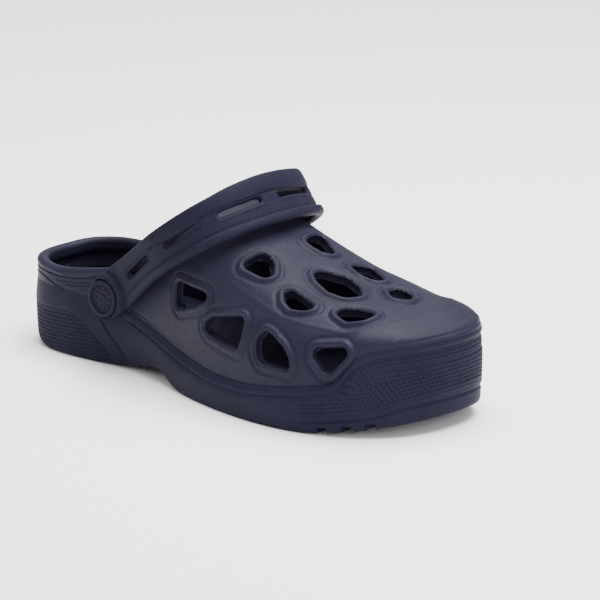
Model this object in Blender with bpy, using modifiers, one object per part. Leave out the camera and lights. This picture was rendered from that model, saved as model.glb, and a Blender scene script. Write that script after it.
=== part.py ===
"""Rubber garden clog, right foot: moulded body, drop-in footbed, swinging heel strap, two snap rivets.

Working units are millimetres with the back of the heel at X 0, the toe toward +X, the inner (medial)
side of the foot toward +Y and the ground at Z 0. Everything is written out in metres, recentred so that
the frame origin sits under the middle of the bounding box.
"""
import math

import bmesh
import bpy
import numpy as np
from mathutils import Vector

MM = 0.001

# ---------------------------------------------------------------- driving dimensions (mm)
# plan outline of the sole side wall, heel back -> lateral side -> toe -> medial side
OUTLINE = [(0, 0), (3.8, -22), (20.5, -36), (50, -39.2), (82, -37), (112, -41), (142, -50), (172, -57),
           (205, -60), (236, -56), (262, -44), (281, -24), (289, 2), (287, 26), (274, 43), (250, 51),
           (216, 52), (180, 48), (148, 41), (115, 35.5), (84, 34), (52, 35.5), (22, 32), (5, 19)]
FOXING_X = [0, 40, 70, 84, 96, 108, 120, 134, 150, 170, 190, 212, 230, 240, 249, 253, 258, 262, 268, 277, 290]
FOXING_Z = {-1: [38, 38, 37, 34, 31, 28, 25.2, 22.6, 20.2, 18.3, 18.6, 21, 24, 25.8, 27.8, 29.8, 36.5, 42.5, 46, 48.3, 49.6],
            1: [38, 38, 37, 34.5, 32, 29.5, 27.2, 25.2, 23.2, 22, 22.4, 24, 25.8, 27, 28.6, 30.4, 36.8, 42.5, 46, 48.3, 49.6]}
ROOF_X = [0, 60, 100, 120, 140, 152, 165, 180, 195, 210, 225, 240, 255, 266, 290]
ROOF_Z = [112, 112, 110, 107, 101.5, 96, 89.5, 82.5, 76.5, 71.5, 68, 65, 62.5, 60.5, 54]
ROUND_X = [0, 60, 110, 150, 190, 230, 260, 290]
ROUND_N = [2.5, 2.5, 2.6, 3.0, 3.2, 3.2, 3.1, 3.0]
SPINE_X = [0, 60, 120, 150, 180, 240, 290]
SPINE_Y = [0, 0, 5, 8, 8, 6, 10]
TUCK_X = [0, 60, 110, 160, 210, 235, 290]
TUCK = [1.2, 1.2, 2.5, 4, 3, 1.5, 1.5]
RIM_X = [0, 25, 45, 60, 75, 88, 100, 110, 120, 128, 134, 138, 139.5, 140]
RIM_DEG = {-1: [4.7, 5.3, 6.4, 8.2, 10.9, 17.0, 25.4, 34.0, 45.0, 56.3, 66, 78, 86, 90],
           1: [5.3, 5.8, 6.8, 9.5, 13.8, 22.3, 31, 39, 49, 59, 68, 79, 86, 90]}
THROAT_X = 140.0
POLE_X = 264.0
WALL = 4.6
BED_X = [0, 45, 90, 130, 160, 200, 240, 290]
BED_Z = [24, 23, 22.5, 20, 17.5, 16.5, 17.5, 21]
SOLE_INSET = 3.5
# the waist is lifted off the ground, rising gently from the heel and dropping quickly to the ball
ARCH_X = [64, 82, 92, 103, 112, 117, 122, 128, 136, 146]
ARCH_Z = [0, 1.2, 3.0, 5.2, 7.0, 6.9, 5.4, 2.8, 0.8, 0]

# vents: corners on the side wall as (x, z), on the top as (x, y); then the corner radius
SIDE_VENTS = {-1: [([(130.8, 47.2), (128.8, 61.6), (166, 61.2), (151, 51.3)], 3.0),
                   ([(157.8, 38.2), (159, 49.3), (190.4, 56.4), (190.6, 37.2)], 4.0),
                   ([(204, 52.8), (203, 36.3), (208, 33.6), (229, 33.8), (226.6, 42.2)], 3.4),
                   ([(236.8, 47.4), (264.3, 50.7), (248.6, 32.6)], 3.0)],
              1: [([(132.5, 47.4), (131, 60), (156, 59.6), (149, 51)], 2.8),
                  ([(186.5, 40), (188.5, 52), (205, 54.5), (203.5, 38)], 3.4),
                  ([(218.3, 52), (218, 37), (221.5, 34.8), (237, 35), (234.8, 42.5)], 3.0),
                  ([(240.2, 47.4), (265.5, 50.6), (251.3, 33.4)], 3.0)]}
TOP_VENTS = [([(175.9, -39), (178, -21.4), (188, -26.6), (199, -39.6)], 3.0),
             ([(205.2, -36.1), (209, -34.5), (230.5, -39.2), (224, -44.6), (217.5, -46.6), (211, -43.6)], 2.2),
             ([(180.5, 6.7), (178.3, 12), (178.1, 21.6), (200.5, 13.4), (192, 8.6), (187, 7)], 2.6),
             ([(202.9, -11), (205.3, -6.2), (217, 0.2), (229.2, -3.8), (237.4, -10.8), (233.5, -19.2), (224, -21.2),
               (211, -16.9)], 3.8),
             ([(206.2, 12.4), (214, 22.8), (229.4, 17.5), (227.2, 11.4), (219, 10)], 2.2),
             ([(238.6, -34.2), (239.5, -28.8), (245.5, -23.7), (256.6, -20), (255.1, -30.6), (248, -36.1)], 2.4),
             ([(239, 7.9), (239.8, 14.2), (247.5, 15.9), (252.8, 12.1), (253.5, 6.6), (247.7, 2.9)], 2.5)]

# rivets and strap
PIVOT_X, PIVOT_Z = 78.0, 41.0
SEAT = {-1: -38.7, 1: 36.4}          # faces the strap eyes run against
STRAP_T = 3.6
STRAP_REST_DEG = 39.0
EYE_R = 12.5
STRAP_SPINE = [(0, -41.0), (7, -41.0), (14, -41.0), (27, -42.3), (43, -44.9), (60, -46.9), (77, -45.0), (91, -38.5), (100.5, -26),
               (104.5, -10), (105.3, 4), (103.5, 20), (97.5, 35), (85, 44.6), (68, 47.0), (47, 44.0), (29, 40.8),
               (14, 38.7), (7, 38.7), (0, 38.7)]
# the band's two edges and the middle of its slot row, across the band, against the share of its path
BAND_SHARE = [0, 0.05, 0.10, 0.15, 0.20, 0.28, 0.35, 0.42, 0.5, 0.58, 0.65, 0.72, 0.80, 0.85, 0.90, 0.95, 1]
BAND_REAR = [12.5, 12.2, 11.2, 10.5, 10.1, 9.0, 8.5, 9.7, 10.6, 10.4, 10.9, 11.2, 11.2, 11.2, 11.6, 12.2, 12.5]
BAND_FRONT = [-12.5, -12.4, -12.0, -12.0, -12.9, -15.4, -17.4, -18.8, -19.2, -18.8, -17.4, -15.4, -12.9, -12.0,
              -12.0, -12.4, -12.5]
SLOT_ROW = [1.0, 1.0, 1.0, 1.0, 0.3, -1.9, -3.0, -3.4, -3.4, -3.4, -3.0, -1.9, 0.3, 1.0, 1.0, 1.0, 1.0]
LIP_W, LIP_T = 5.2, 5.6
HEAD_R, HEAD_T, SHANK_R, HOLE_CLEAR = 10.3, 3.0, 3.0, 0.25
BACK_R, BACK_T = 7.5, 2.0
INSOLE_T, INSOLE_GAP = 3.0, 0.3
# tread channels: where each crosses the middle of the sole, its turn from straight across (degrees), its length;
# the three under the toe run out through both side walls
TREAD = [(14, -7, 38), (30, -7, 50), (46, -7, 50), (168, 9, 80), (186, 9, 84), (204, 9, 84), (222, 9, 78),
         (239, 8, 170), (252.5, 7, 170), (264, 6, 170)]
TREAD_DEPTH = 3.8

HALF_COLUMNS = 34


# ---------------------------------------------------------------- curves
def closed_spline(points, n):
    p = np.asarray(points, float)
    count = len(p)
    h = np.linalg.norm(np.roll(p, -1, 0) - p, axis=1) ** 0.5
    t = np.concatenate([[0], np.cumsum(h)])
    a = np.zeros((count, count))
    b = np.zeros((count, 2))
    for i in range(count):
        hm, hp = h[i - 1], h[i]
        a[i, (i - 1) % count] += hm
        a[i, i] += 2 * (hm + hp)
        a[i, (i + 1) % count] += hp
        b[i] = 6 * ((p[(i + 1) % count] - p[i]) / hp - (p[i] - p[i - 1]) / hm)
    m = np.linalg.solve(a, b)
    u = np.linspace(0, t[-1], n, endpoint=False)
    k = np.clip(np.searchsorted(t, u, side="right") - 1, 0, count - 1)
    lo = (u - t[k])[:, None]
    hi = (t[k + 1] - u)[:, None]
    hk = h[k][:, None]
    k2 = (k + 1) % count
    return m[k] * hi ** 3 / (6 * hk) + m[k2] * lo ** 3 / (6 * hk) + (p[k] / hk - m[k] * hk / 6) * hi \
        + (p[k2] / hk - m[k2] * hk / 6) * lo


def ease(x, xs, ys):
    """Monotone cubic through the points."""
    xs = np.asarray(xs, float)
    ys = np.asarray(ys, float)
    x = np.clip(x, xs[0], xs[-1])
    h = np.diff(xs)
    d = np.diff(ys) / h
    m = np.zeros(len(xs))
    m[0], m[-1] = d[0], d[-1]
    for i in range(1, len(xs) - 1):
        if d[i - 1] * d[i] > 0:
            w1, w2 = 2 * h[i] + h[i - 1], h[i] + 2 * h[i - 1]
            m[i] = (w1 + w2) / (w1 / d[i - 1] + w2 / d[i])
    k = np.clip(np.searchsorted(xs, x, side="right") - 1, 0, len(xs) - 2)
    t = (x - xs[k]) / h[k]
    return (2 * t ** 3 - 3 * t ** 2 + 1) * ys[k] + (t ** 3 - 2 * t ** 2 + t) * h[k] * m[k] \
        + (-2 * t ** 3 + 3 * t ** 2) * ys[k + 1] + (t ** 3 - t ** 2) * h[k] * m[k + 1]


PLAN = closed_spline(OUTLINE, 4000)
TIP = int(np.argmax(PLAN[:, 0]))
HALF = {-1: PLAN[:TIP + 1], 1: np.vstack([PLAN[TIP:], PLAN[:1]])[::-1]}
ARC = {s: np.concatenate([[0], np.cumsum(np.linalg.norm(np.diff(HALF[s], axis=0), axis=1))]) for s in (-1, 1)}


def half(side, q):
    s = np.asarray(q, float) * ARC[side][-1]
    return np.stack([np.interp(s, ARC[side], HALF[side][:, 0]), np.interp(s, ARC[side], HALF[side][:, 1])], -1)


def half_normal(side, q):
    q = np.asarray(q, float)
    t = half(side, np.clip(q + 2e-3, 0, 1)) - half(side, np.clip(q - 2e-3, 0, 1))
    n = np.stack([-t[..., 1], t[..., 0]], -1) * side
    n /= np.linalg.norm(n, axis=-1)[..., None]
    n = np.where((q < 1e-6)[..., None], np.array([-1.0, 0]), n)
    return np.where((q > 1 - 1e-6)[..., None], np.array([1.0, 0]), n)


def middle_x(q):
    return 0.5 * (half(-1, q)[..., 0] + half(1, q)[..., 0])


SHARES = np.linspace(0, 1, 4001)
Q_THROAT = float(np.interp(THROAT_X, middle_x(SHARES)[:3800], SHARES[:3800]))


def spine_station(q):
    xm = middle_x(q)
    y = 40 + 16 * np.log1p(np.exp((xm - 40) / 16))
    y = POLE_X - 11 * np.log1p(np.exp((POLE_X - y) / 11))
    u = np.clip((q - Q_THROAT) / (1 - Q_THROAT), 0, 1)
    return np.where(q > Q_THROAT, 0.75 * y + 0.25 * (THROAT_X + (POLE_X - THROAT_X) * u), y)


def ground(x):
    x = np.asarray(x, float)
    toe = np.clip((x - 222) / 68, 0, 1) ** 1.7 * 10
    heel = np.clip((26 - x) / 26, 0, 1) ** 1.6 * 8
    return toe + heel + ease(x, ARCH_X, ARCH_Z)


def rim_angle(q, side):
    return np.radians(ease(middle_x(q), RIM_X, RIM_DEG[side]))


def shell(side, q, th, inset=0.0, floor_z=None):
    """Side wall and vamp: th 0 on the foxing line, a quarter turn on the spine; inset gives the inner skin."""
    q = np.asarray(q, float)
    o = half(side, q)
    n = half_normal(side, q)
    e = o - n * (ease(o[..., 0], TUCK_X, TUCK) + inset)[..., None]
    ze = ease(o[..., 0], FOXING_X, FOXING_Z[side]) if floor_z is None else floor_z
    cx = spine_station(q)
    cy = ease(cx, SPINE_X, SPINE_Y)
    ne = ease(middle_x(q), ROUND_X, ROUND_N)
    if inset:
        cx = np.where(cx > 250, cx - inset * (cx - 250) / 14 * 0.3, cx)
    a = 1 - np.cos(th) ** (2 / ne)
    b = np.sin(th) ** (2 / ne)
    x = e[..., 0] + (cx - e[..., 0]) * a
    y = e[..., 1] + (cy - e[..., 1]) * a
    roof = ease(x, ROOF_X, ROOF_Z) - inset
    return np.stack([x, y, ze + (roof - ze) * b], -1)


def bed(x):
    return ease(x, BED_X, BED_Z)


# ---------------------------------------------------------------- frame
X0 = float((PLAN[:, 0].min() + PLAN[:, 0].max()) / 2)
Y0 = float((PLAN[:, 1].min() + PLAN[:, 1].max()) / 2)


def to_world(p):
    p = np.asarray(p, float)
    return Vector(((p[0] - X0) * MM, (p[1] - Y0) * MM, p[2] * MM))


# ---------------------------------------------------------------- scene helpers
for old in list(bpy.data.objects):
    bpy.data.objects.remove(old, do_unlink=True)
parts = bpy.data.collections.new("garden_clog")
bpy.context.scene.collection.children.link(parts)
tools = bpy.data.collections.new("cutters")
tools.hide_render = True
bpy.context.scene.collection.children.link(tools)


def material(name, rgb, rough):
    m = bpy.data.materials.new(name)
    m.use_nodes = True
    b = m.node_tree.nodes["Principled BSDF"]
    b.inputs["Base Color"].default_value = (*rgb, 1)
    b.inputs["Roughness"].default_value = rough
    return m


FOAM = material("foam", (0.045, 0.042, 0.078), 0.62)
STRAP_FOAM = material("strap_foam", (0.042, 0.040, 0.070), 0.6)
BED_FOAM = material("footbed_foam", (0.036, 0.034, 0.062), 0.7)
PLASTIC = material("rivet_plastic", (0.030, 0.029, 0.048), 0.5)


def finish_object(name, bm, mat, collection, base=Vector((0, 0, 0))):
    me = bpy.data.meshes.new(name)
    bm.to_mesh(me)
    bm.free()
    me.shade_smooth()
    me.set_sharp_from_angle(angle=math.radians(38))
    if mat is not None:
        me.materials.append(mat)
    ob = bpy.data.objects.new(name, me)
    ob.location = base
    collection.objects.link(ob)
    return ob


def loft(name, verts, faces, mat, collection=parts, origin=None):
    """A lofted skin from its stations' points (working mm), welded and turned outward; origin is the object's own."""
    base = to_world(origin) if origin is not None else Vector((0, 0, 0))
    bm = bmesh.new()
    made = [bm.verts.new(to_world(v) - base) for v in verts]
    for face in faces:
        bm.faces.new([made[i] for i in face])
    bmesh.ops.remove_doubles(bm, verts=bm.verts, dist=1e-6)
    bmesh.ops.recalc_face_normals(bm, faces=bm.faces)
    if bm.calc_volume(signed=True) < 0:
        bmesh.ops.reverse_faces(bm, faces=bm.faces)
    return finish_object(name, bm, mat, collection, base)


def as_cutter(ob):
    ob.display_type = "WIRE"
    ob.hide_render = True
    return ob


def punch(name, outline, travel):
    """A cutter: the closed outline (3-D points, working mm) pushed along travel (mm)."""
    bm = bmesh.new()
    face = bm.faces.new([bm.verts.new(to_world(p)) for p in outline])
    pushed = bmesh.ops.extrude_face_region(bm, geom=[face])
    moved = [e for e in pushed["geom"] if isinstance(e, bmesh.types.BMVert)]
    bmesh.ops.translate(bm, verts=moved, vec=Vector(travel) * MM)
    bmesh.ops.recalc_face_normals(bm, faces=bm.faces)
    if bm.calc_volume(signed=True) < 0:
        bmesh.ops.reverse_faces(bm, faces=bm.faces)
    return as_cutter(finish_object(name, bm, None, tools))


def bar(name, size, centre, turn_deg):
    """A box cutter (mm) turned about the vertical."""
    bm = bmesh.new()
    bmesh.ops.create_cube(bm, size=1.0)
    bmesh.ops.scale(bm, verts=bm.verts, vec=Vector(size) * MM)
    ob = finish_object(name, bm, None, tools, to_world(centre))
    ob.rotation_euler = (0, 0, math.radians(turn_deg))
    return as_cutter(ob)


def drill_y(name, x, z, r, y0, y1):
    """A round cutter along Y between y0 and y1."""
    bm = bmesh.new()
    bmesh.ops.create_cone(bm, cap_ends=True, segments=24, radius1=r * MM, radius2=r * MM, depth=abs(y1 - y0) * MM)
    ob = finish_object(name, bm, None, tools, to_world((x, (y0 + y1) / 2, z)))
    ob.rotation_euler = (math.pi / 2, 0, 0)
    return as_cutter(ob)


def turned(name, profile, mat, y, side, closed=False, steps=28):
    """A turned piece on the pivot axis: profile (radius, height), outer side top to bottom, height out from y."""
    bm = bmesh.new()
    points = [bm.verts.new((r * MM, 0, h * MM)) for r, h in profile]
    for p0, p1 in zip(points[:-1], points[1:]):
        bm.edges.new((p0, p1))
    if closed:
        bm.edges.new((points[-1], points[0]))
    me = bpy.data.meshes.new(name)
    bm.to_mesh(me)
    bm.free()
    me.materials.append(mat)
    ob = bpy.data.objects.new(name, me)
    parts.objects.link(ob)
    ob.location = to_world((PIVOT_X, y, PIVOT_Z))
    ob.rotation_euler = (-side * math.pi / 2, 0, 0)
    screw = ob.modifiers.new("turn", "SCREW")
    screw.axis = "Z"
    screw.angle = 2 * math.pi
    screw.steps = screw.render_steps = steps
    screw.use_merge_vertices = True
    screw.merge_threshold = 0.00001
    screw.use_smooth_shade = True
    return ob


def rounded(corners, r, steps=3):
    c = [np.array(p, float) for p in corners]
    area = sum(c[i - 1][0] * c[i][1] - c[i][0] * c[i - 1][1] for i in range(len(c)))
    if area < 0:
        c = c[::-1]
    out = []
    for i in range(len(c)):
        p, a, b = c[i], c[i - 1], c[(i + 1) % len(c)]
        u = (a - p) / np.linalg.norm(a - p)
        v = (b - p) / np.linalg.norm(b - p)
        half_angle = math.acos(max(-1, min(1, float(u @ v)))) / 2
        centre = p + (u + v) / np.linalg.norm(u + v) * r / math.sin(half_angle)
        start = centre + (p + u * r / math.tan(half_angle) - centre)
        end = p + v * r / math.tan(half_angle)
        a0 = math.atan2(*(start - centre)[::-1])
        a1 = math.atan2(*(end - centre)[::-1])
        while a1 < a0:
            a1 += 2 * math.pi
        for k in range(steps + 1):
            t = a0 + (a1 - a0) * k / steps
            out.append((centre[0] + r * math.cos(t), centre[1] + r * math.sin(t)))
    return out


def boolean(ob, tool, operation="DIFFERENCE"):
    m = ob.modifiers.new("cut", "BOOLEAN")
    m.operation = operation
    m.solver = "EXACT"
    m.object = tool
    return m


# ---------------------------------------------------------------- clog body
q_cols = np.linspace(0, 1, HALF_COLUMNS + 1)
# the mouth's front end is round, so the columns crowd together as they near it
NEAR_THROAT = np.interp([108.0, 116.5, 123.0, 128.5, 132.5, 135.7, 138.0, 139.5, 140.0], middle_x(SHARES)[:3800],
                        SHARES[:3800])
q_cols = q_cols[(q_cols < NEAR_THROAT[0] - 0.012) | (q_cols > Q_THROAT + 0.012)]
q_cols = np.sort(np.concatenate([q_cols, NEAR_THROAT[:-1], [Q_THROAT]]))
UP = 7


def body_mesh():
    verts, faces = [], []
    rows = {}

    def put(p):
        verts.append(tuple(float(c) for c in p))
        return len(verts) - 1

    spine_out, spine_in = {}, {}
    n = len(q_cols)
    for side in (-1, 1):
        for j, q in enumerate(q_cols):
            if side > 0 and j in (0, n - 1):
                rows[(side, j)] = rows[(-1, j)]
                continue
            o = half(side, q)
            nn = half_normal(side, q)
            ze = float(ease(o[0], FOXING_X, FOXING_Z[side]))
            low = o - nn * SOLE_INSET
            zb = float(ground(low[0]))
            up1 = o - nn * 0.6
            col = [put((low[0], low[1], zb)), put((up1[0], up1[1], zb + 4.5)), put((o[0], o[1], zb + (ze - zb) * 0.6))]
            closed = q >= Q_THROAT
            top = math.pi / 2 if closed else float(rim_angle(q, side))
            steps = UP
            for k in range(steps + 1):
                th = top * k / steps
                if closed and k == steps:
                    if side < 0:
                        spine_out[j] = put(shell(side, q, th))
                    col.append(spine_out[j])
                else:
                    col.append(put(shell(side, q, th)))
            inner = []
            e = half(side, q) - half_normal(side, q) * (float(ease(o[0], TUCK_X, TUCK)) + WALL)
            zf = float(bed(e[0]))
            if closed:
                for k in range(steps + 1):
                    th = top * (steps - k) / steps
                    if k == 0:
                        if side < 0:
                            spine_in[j] = put(shell(side, q, th, WALL, zf))
                        inner.append(spine_in[j])
                    else:
                        inner.append(put(shell(side, q, th, WALL, zf)))
            else:
                p_out = np.array(verts[col[-1]])
                ne = float(ease(middle_x(q), ROUND_X, ROUND_N))
                roof = float(ease(p_out[0], ROOF_X, ROOF_Z)) - WALL
                ratio = min(0.999, max(0.0, (min(p_out[2], roof - 0.05) - zf) / (roof - zf)))
                th_top = math.asin(ratio ** (ne / 2))
                for k in range(steps + 1):
                    inner.append(put(shell(side, q, th_top * (steps - k) / steps, WALL, zf)))
            rows[(side, j)] = col + inner
    height = len(rows[(-1, 0)])
    for side in (-1, 1):
        for j in range(n - 1):
            a, b = rows[(side, j)], rows[(side, j + 1)]
            for k in range(height - 1):
                quad = [a[k], b[k], b[k + 1], a[k + 1]]
                quad = list(dict.fromkeys(quad))
                if len(quad) >= 3:
                    # both skins meet on the spine: the wall between them exists only behind the throat
                    if k == 3 + UP and q_cols[j] >= Q_THROAT:
                        continue
                    faces.append(quad)
    # across the sole and across the footbed, lateral to medial
    for row, height_at in ((0, ground), (height - 1, bed)):
        grid = []
        for j in range(n):
            l, m = rows[(-1, j)][row], rows[(1, j)][row]
            if l == m:
                grid.append([l])
                continue
            pl, pm = np.array(verts[l]), np.array(verts[m])
            line = [l]
            for t in (0.25, 0.5, 0.75):
                p = pl + (pm - pl) * t
                p[2] = float(height_at(p[0]))
                line.append(put(p))
            line.append(m)
            grid.append(line)
        for j in range(n - 1):
            a, b = grid[j], grid[j + 1]
            if len(a) == 1:
                faces += [[a[0], b[k], b[k + 1]] for k in range(len(b) - 1)]
            elif len(b) == 1:
                faces += [[a[k], b[0], a[k + 1]] for k in range(len(a) - 1)]
            else:
                faces += [[a[k], b[k], b[k + 1], a[k + 1]] for k in range(len(a) - 1)]
    return verts, faces


body = loft("clog_body", *body_mesh(), FOAM)

cuts = []
for side, word in ((-1, "lateral"), (1, "medial")):
    for i, (corners, r) in enumerate(SIDE_VENTS[side]):
        outline = rounded(corners, r)
        xc = sum(p[0] for p in outline) / len(outline)
        share = np.linspace(0.2, 0.94, 800)
        q = float(share[int(np.argmin(np.abs(half(side, share)[:, 0] - xc)))])
        o, nn = half(side, q), half_normal(side, q)
        along = np.array([abs(nn[1]), -nn[0] * math.copysign(1, nn[1])])
        start = [(o[0] + along[0] * (u - xc) - nn[0] * 16, o[1] + along[1] * (u - xc) - nn[1] * 16, v - 2.9)
                 for u, v in outline]
        cuts.append(punch(f"side_vent_{word}_{i + 1}", start, (nn[0] * 24, nn[1] * 24, 4.3)))
for i, (corners, r) in enumerate(TOP_VENTS):
    outline = rounded(corners, r)
    xc = sum(p[0] for p in outline) / len(outline)
    yc = sum(p[1] for p in outline) / len(outline)
    zc = float(ease(xc, ROOF_X, ROOF_Z))
    lean = max(-0.45, min(0.45, (yc - 3) / 80))
    slope = -float(ease(xc + 5, ROOF_X, ROOF_Z) - ease(xc - 5, ROOF_X, ROOF_Z)) / 10
    start = [(u - slope * 0.7 * 26, v - lean * 26, zc - 26) for u, v in outline]
    cuts.append(punch(f"top_vent_{i + 1}", start, (slope * 0.7 * 34, lean * 34, 34)))
# rivet holes
for side, word in ((-1, "lateral"), (1, "medial")):
    cuts.append(drill_y(f"rivet_hole_{word}", PIVOT_X, PIVOT_Z, SHANK_R + HOLE_CLEAR,
                        SEAT[side] - side * 14, SEAT[side] + side * 4))
# tread channels across the sole
for i, (x, turn, length) in enumerate(TREAD):
    deep = float(ground(x)) + TREAD_DEPTH
    cuts.append(bar(f"tread_channel_{i + 1}", (5.2, length, deep + 5), (x, Y0, (deep - 5) / 2), turn))
for c in cuts:
    boolean(body, c)


# ---------------------------------------------------------------- footbed insole
def insole_sheet():
    """Open top surface of the footbed, heel to toe, five points across; Solidify gives it its thickness."""
    verts, faces = [], []
    shares = np.concatenate([[0.022, 0.05], np.linspace(0.09, 0.93, 18), [0.965, 0.984]])
    for q in shares:
        ends = []
        for side in (-1, 1):
            o = half(side, q)
            ends.append(o - half_normal(side, q) * (float(ease(o[0], TUCK_X, TUCK)) + WALL + INSOLE_GAP + 0.9))
        for t in (0, 0.25, 0.5, 0.75, 1):
            p = ends[0] + (ends[1] - ends[0]) * t
            verts.append((p[0], p[1], float(bed(p[0])) + INSOLE_GAP + INSOLE_T))
    for j in range(len(shares) - 1):
        faces += [[j * 5 + k, j * 5 + 5 + k, j * 5 + 6 + k, j * 5 + 1 + k] for k in range(4)]
    return verts, faces


bm_sheet = bmesh.new()
sheet_verts, sheet_faces = insole_sheet()
made = [bm_sheet.verts.new(to_world(v)) for v in sheet_verts]
for f in sheet_faces:
    bm_sheet.faces.new([made[i] for i in f])
bm_sheet.normal_update()
if sum(f.normal.z for f in bm_sheet.faces) < 0:
    bmesh.ops.reverse_faces(bm_sheet, faces=bm_sheet.faces)
insole = finish_object("footbed_insole", bm_sheet, BED_FOAM, parts)
thick = insole.modifiers.new("thickness", "SOLIDIFY")
thick.thickness = (INSOLE_T - 0.05) * MM
thick.offset = -1.0
thick.use_even_offset = True


# ---------------------------------------------------------------- heel strap
def open_spline(points, n):
    p = np.asarray(points, float)
    t = np.concatenate([[0], np.cumsum(np.linalg.norm(np.diff(p, axis=0), axis=1))])
    u = np.linspace(0, t[-1], n)
    m = np.zeros_like(p)
    m[1:-1] = (p[2:] - p[:-2]) / (t[2:] - t[:-2])[:, None]
    m[0] = (p[1] - p[0]) / (t[1] - t[0])
    m[-1] = (p[-1] - p[-2]) / (t[-1] - t[-2])
    k = np.clip(np.searchsorted(t, u, side="right") - 1, 0, len(p) - 2)
    h = (t[k + 1] - t[k])[:, None]
    s = ((u - t[k]) / (t[k + 1] - t[k]))[:, None]
    return (2 * s ** 3 - 3 * s ** 2 + 1) * p[k] + (s ** 3 - 2 * s ** 2 + s) * h * m[k] \
        + (-2 * s ** 3 + 3 * s ** 2) * p[k + 1] + (s ** 3 - s ** 2) * h * m[k + 1]


REST = math.radians(STRAP_REST_DEG)
ALONG = np.array([math.cos(REST), 0, math.sin(REST)])
ACROSS = np.array([-math.sin(REST), 0, math.cos(REST)])
PIVOT = np.array([PIVOT_X, 0, PIVOT_Z])


def strap_point(r, y, w, normal, out):
    """r along the strap plane from the pivot, y sideways, w across the band, out along the band's outward normal."""
    p = PIVOT + ALONG * (r + normal[0] * out) + ACROSS * w
    p[1] = y + normal[1] * out
    return p


def strap_mesh():
    path = open_spline(STRAP_SPINE, 58)
    tangent = np.gradient(path, axis=0)
    tangent /= np.linalg.norm(tangent, axis=1)[:, None]
    # the eyes are flat: straight lead-in behind the pivot
    eye = [-EYE_R + 0.35, -EYE_R + 2.2, -EYE_R + 5.5, -EYE_R + 9.0]
    stations = [(r, STRAP_SPINE[0][1], (0.0, -1.0)) for r in eye]
    normals = np.stack([-tangent[:, 1], tangent[:, 0]], 1)
    # path runs lateral -> medial, the outward normal is on its left in (r, y)
    mid = path[len(path) // 2]
    flip = 1.0 if normals[len(path) // 2][0] > 0 else -1.0
    normals *= flip
    normals[0], normals[-1] = (0.0, -1.0), (0.0, 1.0)
    normals[1], normals[-2] = (0.0, -1.0), (0.0, 1.0)
    stations += [(p[0], p[1], tuple(nm)) for p, nm in zip(path, normals)]
    stations += [(r, STRAP_SPINE[-1][1], (0.0, 1.0)) for r in eye[::-1]]
    verts, rings = [], []
    for i, (r, y, nm) in enumerate(stations):
        if r < 0.5 and (i < 6 or i > len(stations) - 7):
            w = math.sqrt(max(EYE_R ** 2 - r ** 2, 0.01)) if r < 0 else EYE_R
            rear, front, lip = w, -w, 0.0
        else:
            g = max(0.0, min(1.0, r / 26.0))
            share = (i - 4) / (len(path) - 1)
            rear = float(ease(share, BAND_SHARE, BAND_REAR))
            front = float(ease(share, BAND_SHARE, BAND_FRONT))
            lip = g * g * (3 - 2 * g)
        h = STRAP_T / 2
        t = max(0.0, min(1.0, (r - 12.0) / 22.0))
        extra = (LIP_T - STRAP_T) * t * t * (3 - 2 * t)
        prof = [(front, -h), (front, h + extra), (front + LIP_W * 0.8 * max(lip, 0.3), h + extra),
                (front + LIP_W * max(lip, 0.42), h), (rear, h), (rear, -h)]
        ring = []
        for wv, ov in prof:
            ring.append(len(verts))
            verts.append(strap_point(r, y, wv, nm, ov))
        rings.append(ring)
    faces = []
    m = len(rings[0])
    for a, b in zip(rings[:-1], rings[1:]):
        faces += [[a[k], b[k], b[(k + 1) % m], a[(k + 1) % m]] for k in range(m)]
    faces += [rings[0][::-1], rings[-1]]
    return verts, faces


strap = loft("heel_strap", *strap_mesh(), STRAP_FOAM, origin=(PIVOT_X, Y0, PIVOT_Z))
# the strap's slots: (start, end) as shares of the band's path, lateral to medial
SLOTS = [(0.088, 0.178), (0.236, 0.330), (0.364, 0.467), (0.510, 0.620), (0.650, 0.744), (0.802, 0.892)]
SLOT_HALF = 2.1
for i, (s0, s1) in enumerate(SLOTS):
    path = open_spline(STRAP_SPINE, 401)
    tangent = np.gradient(path, axis=0)
    tangent /= np.linalg.norm(tangent, axis=1)[:, None]
    normals = np.stack([tangent[:, 1], -tangent[:, 0]], 1)
    if normals[200][0] < 0:
        normals = -normals
    verts, rings = [], []
    ks = np.linspace(s0 * 400, s1 * 400, 6).astype(int)
    for k in ks:
        ring = []
        row = float(ease(k / 400, BAND_SHARE, SLOT_ROW))
        for wv, ov in ((row - SLOT_HALF, -5), (row - SLOT_HALF, 5), (row + SLOT_HALF, 5), (row + SLOT_HALF, -5)):
            ring.append(len(verts))
            verts.append(strap_point(path[k][0], path[k][1], wv, normals[k], ov))
        rings.append(ring)
    faces = [[a[j], b[j], b[(j + 1) % 4], a[(j + 1) % 4]] for a, b in zip(rings[:-1], rings[1:]) for j in range(4)]
    faces += [rings[0][::-1], rings[-1]]
    boolean(strap, as_cutter(loft(f"strap_slot_{i + 1}", verts, faces, None, tools)))
for side, word in ((-1, "lateral"), (1, "medial")):
    boolean(strap, drill_y(f"strap_eye_hole_{word}", PIVOT_X, PIVOT_Z, SHANK_R + HOLE_CLEAR,
                           SEAT[side] - side * 3, SEAT[side] + side * 9))


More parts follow.
